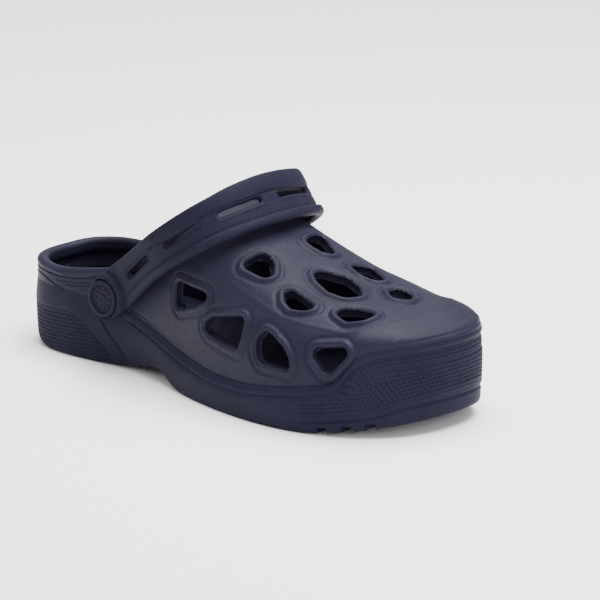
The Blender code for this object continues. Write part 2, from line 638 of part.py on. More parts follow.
# ---------------------------------------------------------------- rivets
for side, word in ((-1, "lateral"), (1, "medial")):
    strap_y = STRAP_SPINE[0][1] if side < 0 else STRAP_SPINE[-1][1]
    face = strap_y + side * (STRAP_T / 2 + 0.3)            # the head's underside
    share = float(np.interp(PIVOT_X, HALF[side][:1600, 0], ARC[side][:1600] / ARC[side][-1]))
    skin = float(shell(side, share, 0.05)[1])
    inner = skin - side * (WALL + 0.9)                      # just inside the wall
    tip = (inner - side * (BACK_T + 0.6) - face) * side
    turned(f"rivet_cap_{word}",
           [(0, HEAD_T - 0.7), (HEAD_R - 3.0, HEAD_T - 0.7), (HEAD_R - 2.4, HEAD_T), (HEAD_R - 1.0, HEAD_T),
            (HEAD_R, HEAD_T - 1.1), (HEAD_R, 0), (SHANK_R, 0), (SHANK_R, tip), (0, tip)],
           PLASTIC, face, side)
    turned(f"rivet_back_{word}",
           [(SHANK_R + 0.15, 0), (BACK_R, 0), (BACK_R, -BACK_T + 0.8), (BACK_R - 0.8, -BACK_T),
            (SHANK_R + 0.15, -BACK_T)],
           PLASTIC, inner, side, closed=True)
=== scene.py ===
"""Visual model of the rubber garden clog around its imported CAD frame.

Working units are millimetres: back of the heel at X 0, toe +X, inner (medial) side +Y, ground Z 0. Meshes are
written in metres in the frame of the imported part. Every surface is built from the curves and tables below.
"""

import math

import bmesh
import bpy
import numpy as np
from mathutils import Matrix, Vector


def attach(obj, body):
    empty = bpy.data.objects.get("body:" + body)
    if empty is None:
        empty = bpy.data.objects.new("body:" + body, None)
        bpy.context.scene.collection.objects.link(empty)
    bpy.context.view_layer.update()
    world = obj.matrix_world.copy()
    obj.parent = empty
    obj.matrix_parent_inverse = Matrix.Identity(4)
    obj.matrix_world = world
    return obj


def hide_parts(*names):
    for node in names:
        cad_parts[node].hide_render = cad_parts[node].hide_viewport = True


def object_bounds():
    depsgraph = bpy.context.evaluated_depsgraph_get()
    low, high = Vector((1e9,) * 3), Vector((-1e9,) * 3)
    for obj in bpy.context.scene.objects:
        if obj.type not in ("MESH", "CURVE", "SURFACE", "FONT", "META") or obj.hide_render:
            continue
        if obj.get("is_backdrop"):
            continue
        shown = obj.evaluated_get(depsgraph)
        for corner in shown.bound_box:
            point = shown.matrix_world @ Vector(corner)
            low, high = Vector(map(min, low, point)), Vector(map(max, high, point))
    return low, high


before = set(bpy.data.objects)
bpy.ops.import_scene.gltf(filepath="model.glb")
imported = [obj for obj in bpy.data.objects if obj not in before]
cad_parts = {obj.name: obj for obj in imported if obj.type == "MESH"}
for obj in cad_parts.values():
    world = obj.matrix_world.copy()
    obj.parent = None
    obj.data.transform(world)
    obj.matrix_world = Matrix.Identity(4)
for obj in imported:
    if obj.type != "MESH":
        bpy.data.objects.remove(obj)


def plain(value):
    """Nested bounds as plain lists of numbers."""
    if isinstance(value, dict):
        return {k: plain(v) for k, v in value.items()}
    try:
        return [plain(v) for v in value]
    except TypeError:
        return round(float(value), 6)


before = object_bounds()

# plan outline of the sole side wall, heel back -> lateral side -> toe -> medial side
OUTLINE = [(0, 0), (3.8, -22), (20.5, -36), (50, -39.2), (82, -37), (112, -41), (142, -50), (172, -57),
           (205, -60), (236, -56), (262, -44), (281, -24), (289, 2), (287, 26), (274, 43), (250, 51),
           (216, 52), (180, 48), (148, 41), (115, 35.5), (84, 34), (52, 35.5), (22, 32), (5, 19)]
FOXING_X = [0, 40, 70, 84, 96, 108, 120, 134, 150, 170, 190, 212, 230, 240, 249, 253, 258, 262, 268, 277, 290]
FOXING_Z = {-1: [38, 38, 37, 34, 31, 28, 25.2, 22.6, 20.2, 18.3, 18.6, 21, 24, 25.8, 27.8, 29.8, 36.5, 42.5, 46, 48.3, 49.6],
            1: [38, 38, 37, 34.5, 32, 29.5, 27.2, 25.2, 23.2, 22, 22.4, 24, 25.8, 27, 28.6, 30.4, 36.8, 42.5, 46, 48.3, 49.6]}
ROOF_X = [0, 60, 100, 120, 140, 152, 165, 180, 195, 210, 225, 240, 255, 266, 290]
ROOF_Z = [112, 112, 110, 107, 101.5, 96, 89.5, 82.5, 76.5, 71.5, 68, 65, 62.5, 60.5, 54]
ROUND_X = [0, 60, 110, 150, 190, 230, 260, 290]
ROUND_N = [2.5, 2.5, 2.6, 3.0, 3.2, 3.2, 3.1, 3.0]
SPINE_X = [0, 60, 120, 150, 180, 240, 290]
SPINE_Y = [0, 0, 5, 8, 8, 6, 10]
TUCK_X = [0, 60, 110, 160, 210, 235, 290]
TUCK = [1.2, 1.2, 2.5, 4, 3, 1.5, 1.5]
RIM_X = [0, 25, 45, 60, 75, 88, 100, 110, 120, 128, 134, 138, 139.5, 140]
RIM_DEG = {-1: [4.7, 5.3, 6.4, 8.2, 10.9, 17.0, 25.4, 34.0, 45.0, 56.3, 66, 78, 86, 90],
           1: [5.3, 5.8, 6.8, 9.5, 13.8, 22.3, 31, 39, 49, 59, 68, 79, 86, 90]}
THROAT_X = 140.0
POLE_X = 264.0
WALL = 4.6
BED_X = [0, 45, 90, 130, 160, 200, 240, 290]
BED_Z = [24, 23, 22.5, 20, 17.5, 16.5, 17.5, 21]
SOLE_INSET = 3.5
# the waist is lifted off the ground, rising gently from the heel and dropping quickly to the ball
ARCH_X = [64, 82, 92, 103, 112, 117, 122, 128, 136, 146]
ARCH_Z = [0, 1.2, 3.0, 5.2, 7.0, 6.9, 5.4, 2.8, 0.8, 0]

# vents: corners on the side wall as (x, z), on the top as (x, y); then the corner radius
SIDE_VENTS = {-1: [([(130.8, 47.2), (128.8, 61.6), (166, 61.2), (151, 51.3)], 3.0),
                   ([(157.8, 38.2), (159, 49.3), (190.4, 56.4), (190.6, 37.2)], 4.0),
                   ([(204, 52.8), (203, 36.3), (208, 33.6), (229, 33.8), (226.6, 42.2)], 3.4),
                   ([(236.8, 47.4), (264.3, 50.7), (248.6, 32.6)], 3.0)],
              1: [([(132.5, 47.4), (131, 60), (156, 59.6), (149, 51)], 2.8),
                  ([(186.5, 40), (188.5, 52), (205, 54.5), (203.5, 38)], 3.4),
                  ([(218.3, 52), (218, 37), (221.5, 34.8), (237, 35), (234.8, 42.5)], 3.0),
                  ([(240.2, 47.4), (265.5, 50.6), (251.3, 33.4)], 3.0)]}
TOP_VENTS = [([(175.9, -39), (178, -21.4), (188, -26.6), (199, -39.6)], 3.0),
             ([(205.2, -36.1), (209, -34.5), (230.5, -39.2), (224, -44.6), (217.5, -46.6), (211, -43.6)], 2.2),
             ([(180.5, 6.7), (178.3, 12), (178.1, 21.6), (200.5, 13.4), (192, 8.6), (187, 7)], 2.6),
             ([(202.9, -11), (205.3, -6.2), (217, 0.2), (229.2, -3.8), (237.4, -10.8), (233.5, -19.2), (224, -21.2),
               (211, -16.9)], 3.8),
             ([(206.2, 12.4), (214, 22.8), (229.4, 17.5), (227.2, 11.4), (219, 10)], 2.2),
             ([(238.6, -34.2), (239.5, -28.8), (245.5, -23.7), (256.6, -20), (255.1, -30.6), (248, -36.1)], 2.4),
             ([(239, 7.9), (239.8, 14.2), (247.5, 15.9), (252.8, 12.1), (253.5, 6.6), (247.7, 2.9)], 2.5)]

# rivets and strap
PIVOT_X, PIVOT_Z = 78.0, 41.0
SEAT = {-1: -38.7, 1: 36.4}          # faces the strap eyes run against
STRAP_T = 3.6
STRAP_REST_DEG = 39.0
EYE_R = 12.5
STRAP_SPINE = [(0, -41.0), (7, -41.0), (14, -41.0), (27, -42.3), (43, -44.9), (60, -46.9), (77, -45.0), (91, -38.5), (100.5, -26),
               (104.5, -10), (105.3, 4), (103.5, 20), (97.5, 35), (85, 44.6), (68, 47.0), (47, 44.0), (29, 40.8),
               (14, 38.7), (7, 38.7), (0, 38.7)]
# the band's two edges and the middle of its slot row, across the band, against the share of its path
BAND_SHARE = [0, 0.05, 0.10, 0.15, 0.20, 0.28, 0.35, 0.42, 0.5, 0.58, 0.65, 0.72, 0.80, 0.85, 0.90, 0.95, 1]
BAND_REAR = [12.5, 12.2, 11.2, 10.5, 10.1, 9.0, 8.5, 9.7, 10.6, 10.4, 10.9, 11.2, 11.2, 11.2, 11.6, 12.2, 12.5]
BAND_FRONT = [-12.5, -12.4, -12.0, -12.0, -12.9, -15.4, -17.4, -18.8, -19.2, -18.8, -17.4, -15.4, -12.9, -12.0,
              -12.0, -12.4, -12.5]
SLOT_ROW = [1.0, 1.0, 1.0, 1.0, 0.3, -1.9, -3.0, -3.4, -3.4, -3.4, -3.0, -1.9, 0.3, 1.0, 1.0, 1.0, 1.0]
LIP_W, LIP_T = 5.2, 5.6
HEAD_R, HEAD_T, SHANK_R, HOLE_CLEAR = 10.3, 3.0, 3.0, 0.25
BACK_R, BACK_T = 7.5, 2.0
INSOLE_T, INSOLE_GAP = 3.0, 0.3
# tread channels: where each crosses the middle of the sole, its turn from straight across (degrees), its length;
# the three under the toe run out through both side walls
TREAD = [(14, -7, 38), (30, -7, 50), (46, -7, 50), (168, 9, 80), (186, 9, 84), (204, 9, 84), (222, 9, 78),
         (239, 8, 170), (252.5, 7, 170), (264, 6, 170)]
TREAD_DEPTH = 3.8

HALF_COLUMNS = 34


# ---------------------------------------------------------------- curves
def closed_spline(points, n):
    p = np.asarray(points, float)
    count = len(p)
    h = np.linalg.norm(np.roll(p, -1, 0) - p, axis=1) ** 0.5
    t = np.concatenate([[0], np.cumsum(h)])
    a = np.zeros((count, count))
    b = np.zeros((count, 2))
    for i in range(count):
        hm, hp = h[i - 1], h[i]
        a[i, (i - 1) % count] += hm
        a[i, i] += 2 * (hm + hp)
        a[i, (i + 1) % count] += hp
        b[i] = 6 * ((p[(i + 1) % count] - p[i]) / hp - (p[i] - p[i - 1]) / hm)
    m = np.linalg.solve(a, b)
    u = np.linspace(0, t[-1], n, endpoint=False)
    k = np.clip(np.searchsorted(t, u, side="right") - 1, 0, count - 1)
    lo = (u - t[k])[:, None]
    hi = (t[k + 1] - u)[:, None]
    hk = h[k][:, None]
    k2 = (k + 1) % count
    return m[k] * hi ** 3 / (6 * hk) + m[k2] * lo ** 3 / (6 * hk) + (p[k] / hk - m[k] * hk / 6) * hi \
        + (p[k2] / hk - m[k2] * hk / 6) * lo


def ease(x, xs, ys):
    """Monotone cubic through the points."""
    xs = np.asarray(xs, float)
    ys = np.asarray(ys, float)
    x = np.clip(x, xs[0], xs[-1])
    h = np.diff(xs)
    d = np.diff(ys) / h
    m = np.zeros(len(xs))
    m[0], m[-1] = d[0], d[-1]
    for i in range(1, len(xs) - 1):
        if d[i - 1] * d[i] > 0:
            w1, w2 = 2 * h[i] + h[i - 1], h[i] + 2 * h[i - 1]
            m[i] = (w1 + w2) / (w1 / d[i - 1] + w2 / d[i])
    k = np.clip(np.searchsorted(xs, x, side="right") - 1, 0, len(xs) - 2)
    t = (x - xs[k]) / h[k]
    return (2 * t ** 3 - 3 * t ** 2 + 1) * ys[k] + (t ** 3 - 2 * t ** 2 + t) * h[k] * m[k] \
        + (-2 * t ** 3 + 3 * t ** 2) * ys[k + 1] + (t ** 3 - t ** 2) * h[k] * m[k + 1]


PLAN = closed_spline(OUTLINE, 4000)
TIP = int(np.argmax(PLAN[:, 0]))
HALF = {-1: PLAN[:TIP + 1], 1: np.vstack([PLAN[TIP:], PLAN[:1]])[::-1]}
ARC = {s: np.concatenate([[0], np.cumsum(np.linalg.norm(np.diff(HALF[s], axis=0), axis=1))]) for s in (-1, 1)}


def half(side, q):
    s = np.asarray(q, float) * ARC[side][-1]
    return np.stack([np.interp(s, ARC[side], HALF[side][:, 0]), np.interp(s, ARC[side], HALF[side][:, 1])], -1)


def half_normal(side, q):
    q = np.asarray(q, float)
    t = half(side, np.clip(q + 2e-3, 0, 1)) - half(side, np.clip(q - 2e-3, 0, 1))
    n = np.stack([-t[..., 1], t[..., 0]], -1) * side
    n /= np.linalg.norm(n, axis=-1)[..., None]
    n = np.where((q < 1e-6)[..., None], np.array([-1.0, 0]), n)
    return np.where((q > 1 - 1e-6)[..., None], np.array([1.0, 0]), n)


def middle_x(q):
    return 0.5 * (half(-1, q)[..., 0] + half(1, q)[..., 0])


SHARES = np.linspace(0, 1, 4001)
Q_THROAT = float(np.interp(THROAT_X, middle_x(SHARES)[:3800], SHARES[:3800]))


def spine_station(q):
    xm = middle_x(q)
    y = 40 + 16 * np.log1p(np.exp((xm - 40) / 16))
    y = POLE_X - 11 * np.log1p(np.exp((POLE_X - y) / 11))
    u = np.clip((q - Q_THROAT) / (1 - Q_THROAT), 0, 1)
    return np.where(q > Q_THROAT, 0.75 * y + 0.25 * (THROAT_X + (POLE_X - THROAT_X) * u), y)


def ground(x):
    x = np.asarray(x, float)
    toe = np.clip((x - 222) / 68, 0, 1) ** 1.7 * 10
    heel = np.clip((26 - x) / 26, 0, 1) ** 1.6 * 8
    return toe + heel + ease(x, ARCH_X, ARCH_Z)


def rim_angle(q, side):
    return np.radians(ease(middle_x(q), RIM_X, RIM_DEG[side]))


def shell(side, q, th, inset=0.0, floor_z=None):
    """Side wall and vamp: th 0 on the foxing line, a quarter turn on the spine; inset gives the inner skin."""
    q = np.asarray(q, float)
    o = half(side, q)
    n = half_normal(side, q)
    e = o - n * (ease(o[..., 0], TUCK_X, TUCK) + inset)[..., None]
    ze = ease(o[..., 0], FOXING_X, FOXING_Z[side]) if floor_z is None else floor_z
    cx = spine_station(q)
    cy = ease(cx, SPINE_X, SPINE_Y)
    ne = ease(middle_x(q), ROUND_X, ROUND_N)
    if inset:
        cx = np.where(cx > 250, cx - inset * (cx - 250) / 14 * 0.3, cx)
    a = 1 - np.cos(th) ** (2 / ne)
    b = np.sin(th) ** (2 / ne)
    x = e[..., 0] + (cx - e[..., 0]) * a
    y = e[..., 1] + (cy - e[..., 1]) * a
    roof = ease(x, ROOF_X, ROOF_Z) - inset
    return np.stack([x, y, ze + (roof - ze) * b], -1)


def bed(x):
    return ease(x, BED_X, BED_Z)


# ---------------------------------------------------------------- frame
X0 = float((PLAN[:, 0].min() + PLAN[:, 0].max()) / 2)
Y0 = float((PLAN[:, 1].min() + PLAN[:, 1].max()) / 2)



def open_spline(points, n):
    p = np.asarray(points, float)
    t = np.concatenate([[0], np.cumsum(np.linalg.norm(np.diff(p, axis=0), axis=1))])
    u = np.linspace(0, t[-1], n)
    m = np.zeros_like(p)
    m[1:-1] = (p[2:] - p[:-2]) / (t[2:] - t[:-2])[:, None]
    m[0] = (p[1] - p[0]) / (t[1] - t[0])
    m[-1] = (p[-1] - p[-2]) / (t[-1] - t[-2])
    k = np.clip(np.searchsorted(t, u, side="right") - 1, 0, len(p) - 2)
    h = (t[k + 1] - t[k])[:, None]
    s = ((u - t[k]) / (t[k + 1] - t[k]))[:, None]
    return (2 * s ** 3 - 3 * s ** 2 + 1) * p[k] + (s ** 3 - 2 * s ** 2 + s) * h * m[k] \
        + (-2 * s ** 3 + 3 * s ** 2) * p[k + 1] + (s ** 3 - s ** 2) * h * m[k + 1]



# ---------------------------------------------------------------- helpers on arrays
def step(x, a, b):
    t = np.clip((x - a) / (b - a), 0, 1)
    return t * t * (3 - 2 * t)


def hump(x, centre, half_width):
    t = np.clip(np.abs(x - centre) / half_width, 0, 1)
    return (1 - t * t) ** 2


def corner_centres(corners, r):
    c = [np.array(p, float) for p in corners]
    area = sum(c[i - 1][0] * c[i][1] - c[i][0] * c[i - 1][1] for i in range(len(c)))
    if area < 0:
        c = c[::-1]
    out = []
    for i in range(len(c)):
        p, a, b = c[i], c[i - 1], c[(i + 1) % len(c)]
        u = (a - p) / np.linalg.norm(a - p)
        v = (b - p) / np.linalg.norm(b - p)
        half_angle = math.acos(max(-1, min(1, float(u @ v)))) / 2
        out.append(p + (u + v) / np.linalg.norm(u + v) * r / math.sin(half_angle))
    return np.array(out)


def polygon_distance(pts, poly):
    """Signed distance to a closed polygon, negative inside."""
    d2 = np.full(len(pts), 1e18)
    inside = np.zeros(len(pts), bool)
    n = len(poly)
    for i in range(n):
        a, b = poly[i], poly[(i + 1) % n]
        e = b - a
        w = pts - a
        t = np.clip((w @ e) / (e @ e), 0, 1)
        q = w - t[:, None] * e
        d2 = np.minimum(d2, (q ** 2).sum(1))
        cross = (a[1] > pts[:, 1]) != (b[1] > pts[:, 1])
        with np.errstate(divide="ignore", invalid="ignore"):
            xi = a[0] + (pts[:, 1] - a[1]) * (b[0] - a[0]) / (b[1] - a[1] if b[1] != a[1] else 1e-12)
        inside ^= cross & (pts[:, 0] < xi)
    d = np.sqrt(d2)
    return np.where(inside, -d, d)


def face_normals_to_vertices(v, tris):
    fn = np.cross(v[tris[:, 1]] - v[tris[:, 0]], v[tris[:, 2]] - v[tris[:, 0]])
    n = np.zeros_like(v)
    for k in range(3):
        np.add.at(n, tris[:, k], fn)
    length = np.linalg.norm(n, axis=1)
    length[length == 0] = 1
    return n / length[:, None]


def quads_to_tris(q, v=None):
    """Two triangles a quad, split along the shorter diagonal when positions are given; collapsed ones dropped."""
    q = np.asarray(q)
    if v is not None:
        d1 = np.linalg.norm(v[q[:, 0]] - v[q[:, 2]], axis=1)
        d2 = np.linalg.norm(v[q[:, 1]] - v[q[:, 3]], axis=1)
        k = (d1 <= d2)[:, None]
        t1 = np.where(k, q[:, [0, 1, 2]], q[:, [0, 1, 3]])
        t2 = np.where(k, q[:, [0, 2, 3]], q[:, [1, 2, 3]])
    else:
        t1, t2 = q[:, [0, 1, 2]], q[:, [0, 2, 3]]
    t = np.vstack([t1, t2])
    ok = (t[:, 0] != t[:, 1]) & (t[:, 1] != t[:, 2]) & (t[:, 0] != t[:, 2])
    return t[ok]


def cut_mesh(v, tris, f, extra):
    """Keeps the part of the mesh where f > 0, with a clean edge on f = 0. extra holds per-vertex arrays to carry on."""
    f = f.copy()
    v = v.copy()
    extra = [e.copy() for e in extra]
    edges = np.vstack([tris[:, [0, 1]], tris[:, [1, 2]], tris[:, [2, 0]]])
    edges = np.unique(np.sort(edges, 1), axis=0)
    fa, fb = f[edges[:, 0]], f[edges[:, 1]]
    mixed = (fa > 0) != (fb > 0)
    e = edges[mixed]
    t = f[e[:, 0]] / (f[e[:, 0]] - f[e[:, 1]])
    moved = np.zeros(len(v), bool)
    base_v, base_x = v.copy(), [x.copy() for x in extra]
    for near, far, tt in ((0, 1, t), (1, 0, 1 - t)):
        k = tt < 0.22
        a, b, w = e[k, near], e[k, far], tt[k]
        v[a] = base_v[a] + (base_v[b] - base_v[a]) * w[:, None]
        for x, bx in zip(extra, base_x):
            x[a] = bx[a] + (bx[b] - bx[a]) * (w[:, None] if x.ndim > 1 else w)
        moved[a] = True
    f[moved] = 0.0
    keepv = f >= 0
    state = keepv[tris].sum(1)
    whole = tris[state == 3]
    # a triangle whose corners all lie on the line belongs to the hole
    on = (f[whole] == 0).all(1)
    cen = whole[on]
    whole = whole[~on]
    new_v, new_x, made = [], [[] for _ in extra], {}

    def crossing(a, b):
        key = (a, b) if a < b else (b, a)
        if key in made:
            return made[key]
        if f[a] == 0:
            made_id = a
            return made_id
        w = f[a] / (f[a] - f[b])
        idx = len(v) + len(new_v)
        new_v.append(v[a] + (v[b] - v[a]) * w)
        for store, x in zip(new_x, extra):
            store.append(x[a] + (x[b] - x[a]) * w)
        made[key] = idx
        return idx
    out = []
    for tri in tris[(state > 0) & (state < 3)]:
        k = [bool(keepv[i]) for i in tri]
        if sum(k) == 1:
            i = k.index(True)
            a, b, c = int(tri[i]), int(tri[(i + 1) % 3]), int(tri[(i + 2) % 3])
            if f[a] == 0:
                continue
            out.append((a, crossing(a, b), crossing(a, c)))
        else:
            i = k.index(False)
            c, a, b = int(tri[i]), int(tri[(i + 1) % 3]), int(tri[(i + 2) % 3])
            pa, pb = crossing(a, c), crossing(b, c)
            if pa != a or pb != b:
                if f[a] == 0 and f[b] == 0:
                    continue
                if pb == b:
                    out.append((a, b, pa))
                elif pa == a:
                    out.append((a, b, pb))
                else:
                    out.append((a, b, pb))
                    out.append((a, pb, pa))
    tris2 = np.vstack([whole, np.array(out, int).reshape(-1, 3)])
    if new_v:
        v = np.vstack([v, np.array(new_v)])
        extra = [np.concatenate([x, np.array(s)]) for x, s in zip(extra, new_x)]
        f = np.concatenate([f, np.zeros(len(new_v))])
    used = np.zeros(len(v), bool)
    used[tris2.ravel()] = True
    remap = np.cumsum(used) - 1
    return v[used], remap[tris2], f[used], [x[used] for x in extra]


def boundary_edges(tris):
    e = np.vstack([tris[:, [0, 1]], tris[:, [1, 2]], tris[:, [2, 0]]])
    key = e[:, 0].astype(np.int64) * (tris.max() + 1) + e[:, 1]
    back = e[:, 1].astype(np.int64) * (tris.max() + 1) + e[:, 0]
    return e[~np.isin(key, back)]


def close_shell(outer, inner, normals, tris, amp, power, segments):
    """A skin and its inner copy, joined all round by a rounded edge. amp, power: per vertex bulge of that edge."""
    n = len(outer)
    edges = boundary_edges(tris)
    d = outer[edges[:, 1]] - outer[edges[:, 0]]
    d /= np.maximum(np.linalg.norm(d, axis=1), 1e-9)[:, None]
    out_dir = np.zeros_like(outer)
    mid_n = normals[edges[:, 0]] + normals[edges[:, 1]]
    o = np.cross(d, mid_n)
    for k in (0, 1):
        np.add.at(out_dir, edges[:, k], o)
    length = np.linalg.norm(out_dir, axis=1)
    length[length == 0] = 1
    out_dir /= length[:, None]
    rim = np.unique(edges)
    slot = -np.ones(n, int)
    slot[rim] = np.arange(len(rim))
    verts = [outer, inner]
    base = 2 * n
    for j in range(1, segments):
        u = j / segments
        s = (1 - math.cos(math.pi * u)) / 2
        b = amp[rim] * np.sin(math.pi * u) ** (2 / power[rim])
        verts.append(outer[rim] + (inner[rim] - outer[rim]) * s + out_dir[rim] * b[:, None])
    faces = [tris, tris[:, ::-1] + n]
    m = len(rim)

    def ring(j, idx):
        if j == 0:
            return idx
        if j == segments:
            return idx + n
        return base + (j - 1) * m + slot[idx]
    quads = []
    for j in range(segments):
        a0, b0 = ring(j, edges[:, 0]), ring(j, edges[:, 1])
        a1, b1 = ring(j + 1, edges[:, 0]), ring(j + 1, edges[:, 1])
        quads.append(np.stack([b0, a0, a1, b1], 1))
    v = np.vstack(verts)
    return v, np.vstack(faces + [quads_to_tris(np.vstack(quads))])


def shares_by_spacing(spacing_of_x, count=None):
    """q stations along the half outline with the spacing (mm) asked for at each x."""
    q = np.linspace(0, 1, 8001)
    xm = middle_x(q)
    length = 0.5 * (ARC[-1][-1] + ARC[1][-1])
    density = length / spacing_of_x(xm, q)
    cum = np.concatenate([[0], np.cumsum(0.5 * (density[1:] + density[:-1]) * np.diff(q))])
    n = int(round(cum[-1]))
    out = np.interp(np.linspace(0, cum[-1], n + 1), cum, q)
    k = int(np.argmin(np.abs(out - Q_THROAT)))
    out[k] = Q_THROAT
    return out


# ---------------------------------------------------------------- upper


# vent edges as the eye sees them: (corners, corner radius) in mm, lateral side drawn with its curved edges
EDGE_VENTS = {-1: [([(131.2, 46.2), (129.4, 61.9), (166, 61.4), (150.5, 52.7)], 2.8),
                   ([(157, 43.8), (165.5, 50.2), (190.4, 56.4), (190.6, 46), (188.4, 36.9), (174.7, 38.2), (162.5, 40.4)], 2.6),
                   ([(207.2, 51.9), (203.4, 45.2), (203.6, 38.9), (205.8, 34.3), (215, 33.5), (228.4, 33.8), (226, 40.6),
                     (221.8, 45.3), (213.3, 50.2)], 2.4),
                   ([(236.8, 47.4), (264.3, 50.7), (248.6, 32.6)], 3.6)],
              1: [(corners, r * 1.3) for corners, r in SIDE_VENTS[1]]}
EDGE_TOP_VENTS = [(corners, r * 1.22) for corners, r in TOP_VENTS]


def vent_fields(p, th, q, side):
    """Signed distance (mm) to the nearest vent opening at each surface point."""
    best = np.full(len(p), 60.0)
    for sd in (-1, 1):
        for corners, r in EDGE_VENTS[sd]:
            centres = corner_centres(corners, r)
            arcs = rounded_outline(corners, r)
            xc = arcs[:, 0].mean()
            share = np.linspace(0.2, 0.94, 800)
            qq = float(share[int(np.argmin(np.abs(half(sd, share)[:, 0] - xc)))])
            o, nn = half(sd, qq), half_normal(sd, qq)
            along = np.array([abs(nn[1]), -nn[0] * math.copysign(1, nn[1])])
            rel = p[:, :2] - o
            u = xc + rel @ along
            w = rel @ nn
            v = p[:, 2] - 0.18 * w
            k = (side == sd) & (np.abs(u - xc) < 40) & (w > -22) & (th < math.radians(62))
            if k.any():
                d = polygon_distance(np.stack([u[k], v[k]], 1), centres) - r
                best[k] = np.minimum(best[k], d)
    for corners, r in EDGE_TOP_VENTS:
        centres = corner_centres(corners, r)
        arcs = rounded_outline(corners, r)
        xc, yc = arcs[:, 0].mean(), arcs[:, 1].mean()
        zc = float(ease(xc, ROOF_X, ROOF_Z))
        lean = max(-0.45, min(0.45, (yc - 3) / 80))
        slope = -float(ease(xc + 5, ROOF_X, ROOF_Z) - ease(xc - 5, ROOF_X, ROOF_Z)) / 10
        u = p[:, 0] - slope * 0.7 * (p[:, 2] - zc)
        v = p[:, 1] - lean * (p[:, 2] - zc)
        k = (np.abs(u - xc) < 40) & (np.abs(v - yc) < 40) & (th > math.radians(26))
        d = polygon_distance(np.stack([u[k], v[k]], 1), centres) - r
        best[k] = np.minimum(best[k], d)
    return best


def rounded_outline(corners, r, steps=3):
    c = [np.array(p, float) for p in corners]
    area = sum(c[i - 1][0] * c[i][1] - c[i][0] * c[i - 1][1] for i in range(len(c)))
    if area < 0:
        c = c[::-1]
    out = []
    for i in range(len(c)):
        p, a, b = c[i], c[i - 1], c[(i + 1) % len(c)]
        u = (a - p) / np.linalg.norm(a - p)
        v = (b - p) / np.linalg.norm(b - p)
        half_angle = math.acos(max(-1, min(1, float(u @ v)))) / 2
        centre = p + (u + v) / np.linalg.norm(u + v) * r / math.sin(half_angle)
        start, end = p + u * r / math.tan(half_angle), p + v * r / math.tan(half_angle)
        a0 = math.atan2(*(start - centre)[::-1])
        a1 = math.atan2(*(end - centre)[::-1])
        while a1 < a0:
            a1 += 2 * math.pi
        for k in range(steps + 1):
            t = a0 + (a1 - a0) * k / steps
            out.append((centre[0] + r * math.cos(t), centre[1] + r * math.sin(t)))
    return np.array(out)


def column_points(side, q, rows, trim=None):
    """Points of every column, foxing line to rim or spine, evenly spaced; trim shortens the open ones at the rim (mm)."""
    closed = q >= Q_THROAT - 1e-12
    top = np.where(closed, math.pi / 2, rim_angle(q, side))
    fine = np.concatenate([np.linspace(0, 1, 241) ** 1.35, np.linspace(1, 1.3, 61)[1:]])
    th = top[:, None] * fine[None, :]
    qq = np.broadcast_to(q[:, None], th.shape)
    pts = shell(side, qq, th)
    seg = np.linalg.norm(np.diff(pts, axis=1), axis=2)
    arc = np.concatenate([np.zeros((len(q), 1)), np.cumsum(seg, 1)], 1)
    out_th = np.zeros((len(q), rows + 1))
    total = arc[:, 240] - (0 if trim is None else np.where(closed, 0, trim))
    for i in range(len(q)):
        out_th[i] = np.interp(np.linspace(0, total[i], rows + 1), arc[i], th[i])
    out_th[closed, -1] = math.pi / 2
    res = shell(side, np.broadcast_to(q[:, None], out_th.shape), out_th)
    return res, out_th, total



# ---------------------------------------------------------------- meshes into Blender
def add_mesh(name, v_mm, tris, material, body, replaces=(), sharp=None):
    me = bpy.data.meshes.new(name)
    w = (np.asarray(v_mm) - np.array([X0, Y0, 0.0])) * 0.001
    me.vertices.add(len(w))
    me.vertices.foreach_set("co", w.astype(np.float32).ravel())
    me.loops.add(len(tris) * 3)
    me.loops.foreach_set("vertex_index", np.ascontiguousarray(tris, dtype=np.int32).ravel())
    me.polygons.add(len(tris))
    me.polygons.foreach_set("loop_start", np.arange(0, len(tris) * 3, 3, dtype=np.int32))
    me.update(calc_edges=True)
    me.validate()
    me.shade_smooth()
    if sharp:
        me.set_sharp_from_angle(angle=math.radians(sharp))
    me.materials.append(material)
    ob = bpy.data.objects.new(name, me)
    bpy.context.scene.collection.objects.link(ob)
    turn_outward(ob)
    if body:
        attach(ob, body)
    for node in replaces:
        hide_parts(node)
    return ob


def turn_outward(ob):
    bm = bmesh.new()
    bm.from_mesh(ob.data)
    if bm.calc_volume(signed=True) < 0:
        bmesh.ops.reverse_faces(bm, faces=bm.faces)
        bm.to_mesh(ob.data)
    bm.free()


# ---------------------------------------------------------------- upper
LIP_LINE = [(22, 49.0), (41, 47.8), (56, 49.3), (69.5, 52.3)]
BAND_LINE = [(22, 45.3), (37, 44.7), (52.5, 46.2), (67, 49.5)]
LOW_LINE = [(22, 42.5), (33, 39.4), (45, 37.4), (55, 37.0), (64, 36.5), (72, 36.0)]
SKIN = 4.3


def line_z(x, line):
    return np.interp(x, [p[0] for p in line], [p[1] for p in line])


def nearest_gap(p, curve):
    best = np.full(len(p), 1e9)
    for k in range(0, len(p), 20000):
        part = p[k:k + 20000]
        d = ((part[:, None, :] - curve[None, :, :]) ** 2).sum(2).min(1)
        best[k:k + 20000] = np.sqrt(d)
    return best


def dimples(u, v, pitch_u, pitch_v, radius):
    """A staggered field of round dimples: 1 in the middle of one, 0 outside."""
    row = np.round(v / pitch_v)
    shift = np.where(np.mod(row, 2) > 0.5, 0.5, 0.0)
    du = (u / pitch_u - shift) - np.round(u / pitch_u - shift)
    dv = v / pitch_v - row
    r = np.sqrt((du * pitch_u) ** 2 + (dv * pitch_v) ** 2)
    return np.clip(1 - (r / radius) ** 2, 0, 1)


